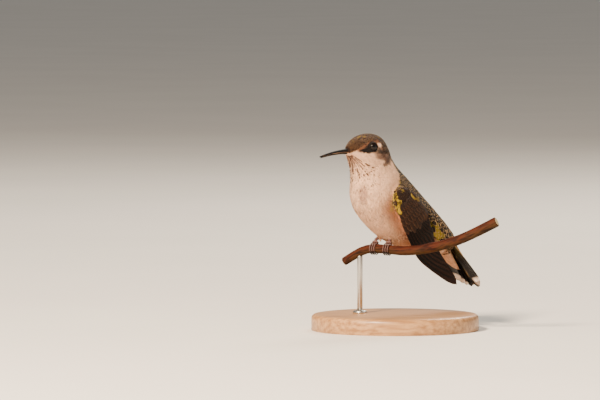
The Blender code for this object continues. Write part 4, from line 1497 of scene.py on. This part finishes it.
class HUMMINGBIRD_OT_stand(bpy.types.Operator):
    """Display stand: a turned beech base, a steel rod and a small collar at its foot"""
    bl_idname = "hummingbird.stand"
    bl_label = "Stand"

    def execute(self, context):
        details = context.scene.hummingbird_details
        beech = shared_material("oiled beech", beech_material, tuple(details.wood),
                                tuple(details.wood_dark))
        steel = shared_material("satin stainless steel", steel_material)
        low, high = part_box("stand_base")
        disc = rounded((high.x - low.x) / 2, low.z, high.z, 1.6 * MM)
        foot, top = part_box("stand_rod")
        thin = (top.x - foot.x) / 2
        pin = rounded(thin, foot.z, top.z, 0.2 * MM)
        collar = [(thin * wide, high.z + details.collar * rise) for wide, rise in
                  ((1, 0), (2.6, 0), (2.6, 0.5), (2.3, 0.8), (1, 1), (1, 0))]
        middle = (foot + top) / 2
        for name, outline, steps, centre, surface, slot, nodes in (
                ("stand_disc", disc, 128, (low + high) / 2, beech, "stand_wood", ("stand_base",)),
                ("stand_pin", pin, 48, middle, steel, "stand_metal", ("stand_rod",)),
                ("stand_collar", collar, 64, middle, steel, "stand_metal", ())):
            settle(new_object(name, turned(outline, steps, centre), surface), slot, *nodes)
        return {"FINISHED"}


class HUMMINGBIRD_OT_stage(bpy.types.Operator):
    """Pale floor, soft studio lights, a pale room and the camera"""
    bl_idname = "hummingbird.stage"
    bl_label = "Stage"

    def execute(self, context):
        details = context.scene.hummingbird_details
        mesh = bmesh.new()
        bmesh.ops.create_circle(mesh, cap_ends=True, segments=96, radius=40.0)
        painted = shared_material("matt painted floor", floor_material, tuple(details.floor))
        floor = new_object("floor", mesh, painted, smooth=False)

        aim = Vector(middle_of("trunk"))
        for name, place, size, power, tone in LIGHTS:
            lamp = bpy.data.lights.new(name, "AREA")
            lamp.shape, lamp.size = "DISK", size
            lamp.energy, lamp.color = power, tone
            item = bpy.data.objects.new(name, lamp)
            item.location = aim + Vector(place)
            item.rotation_euler = (aim - item.location).to_track_quat("-Z", "Y").to_euler()
            context.scene.collection.objects.link(item)

        world = bpy.data.worlds.new("pale room")
        world.use_nodes = True
        sky = world.node_tree.nodes["Background"]
        sky.inputs["Color"].default_value = rgba(srgb("#ece9e4"))
        sky.inputs["Strength"].default_value = 0.36
        context.scene.world = world

        lens = bpy.data.cameras.new("camera")
        lens.sensor_width, lens.lens = 36.0, VIEW_LENS
        lens.clip_end = 200.0
        camera = bpy.data.objects.new("camera", lens)
        rise = math.radians(VIEW_RISE)
        middle = Vector((VIEW_ASIDE, 0, VIEW_HEIGHT / math.cos(rise)))
        toward = Vector((0, -math.cos(rise), math.sin(rise)))
        camera.location = middle + toward * VIEW_DISTANCE
        camera.rotation_euler = (-toward).to_track_quat("-Z", "Y").to_euler()
        context.scene.collection.objects.link(camera)
        context.scene.camera = camera
        return {"FINISHED"}


# ---- panel and registration ----

PIECES = (HUMMINGBIRD_OT_skin, HUMMINGBIRD_OT_eyes, HUMMINGBIRD_OT_coat, HUMMINGBIRD_OT_wings,
          HUMMINGBIRD_OT_tail, HUMMINGBIRD_OT_bill, HUMMINGBIRD_OT_feet, HUMMINGBIRD_OT_perch,
          HUMMINGBIRD_OT_stand, HUMMINGBIRD_OT_stage)


class HUMMINGBIRD_PT_panel(bpy.types.Panel):
    bl_label = "Perched Hummingbird"
    bl_idname = "HUMMINGBIRD_PT_panel"
    bl_space_type = "VIEW_3D"
    bl_region_type = "UI"
    bl_category = "Hummingbird"

    def draw(self, context):
        for piece in PIECES:
            self.layout.operator(piece.bl_idname)
        for group in (context.scene.hummingbird_plumage, context.scene.hummingbird_details):
            box = self.layout.box()
            for name in group.__annotations__:
                box.prop(group, name)


CLASSES = (HUMMINGBIRD_PG_plumage, HUMMINGBIRD_PG_details) + PIECES + (HUMMINGBIRD_PT_panel,)


def register():
    for item in CLASSES:
        bpy.utils.register_class(item)
    bpy.types.Scene.hummingbird_plumage = bpy.props.PointerProperty(type=HUMMINGBIRD_PG_plumage)
    bpy.types.Scene.hummingbird_details = bpy.props.PointerProperty(type=HUMMINGBIRD_PG_details)


def unregister():
    del bpy.types.Scene.hummingbird_plumage
    del bpy.types.Scene.hummingbird_details
    for item in reversed(CLASSES):
        bpy.utils.unregister_class(item)


def main():
    register()
    for piece in PIECES:
        family, name = piece.bl_idname.split(".")
        getattr(getattr(bpy.ops, family), name)()


if __name__ == "__main__":
    main()
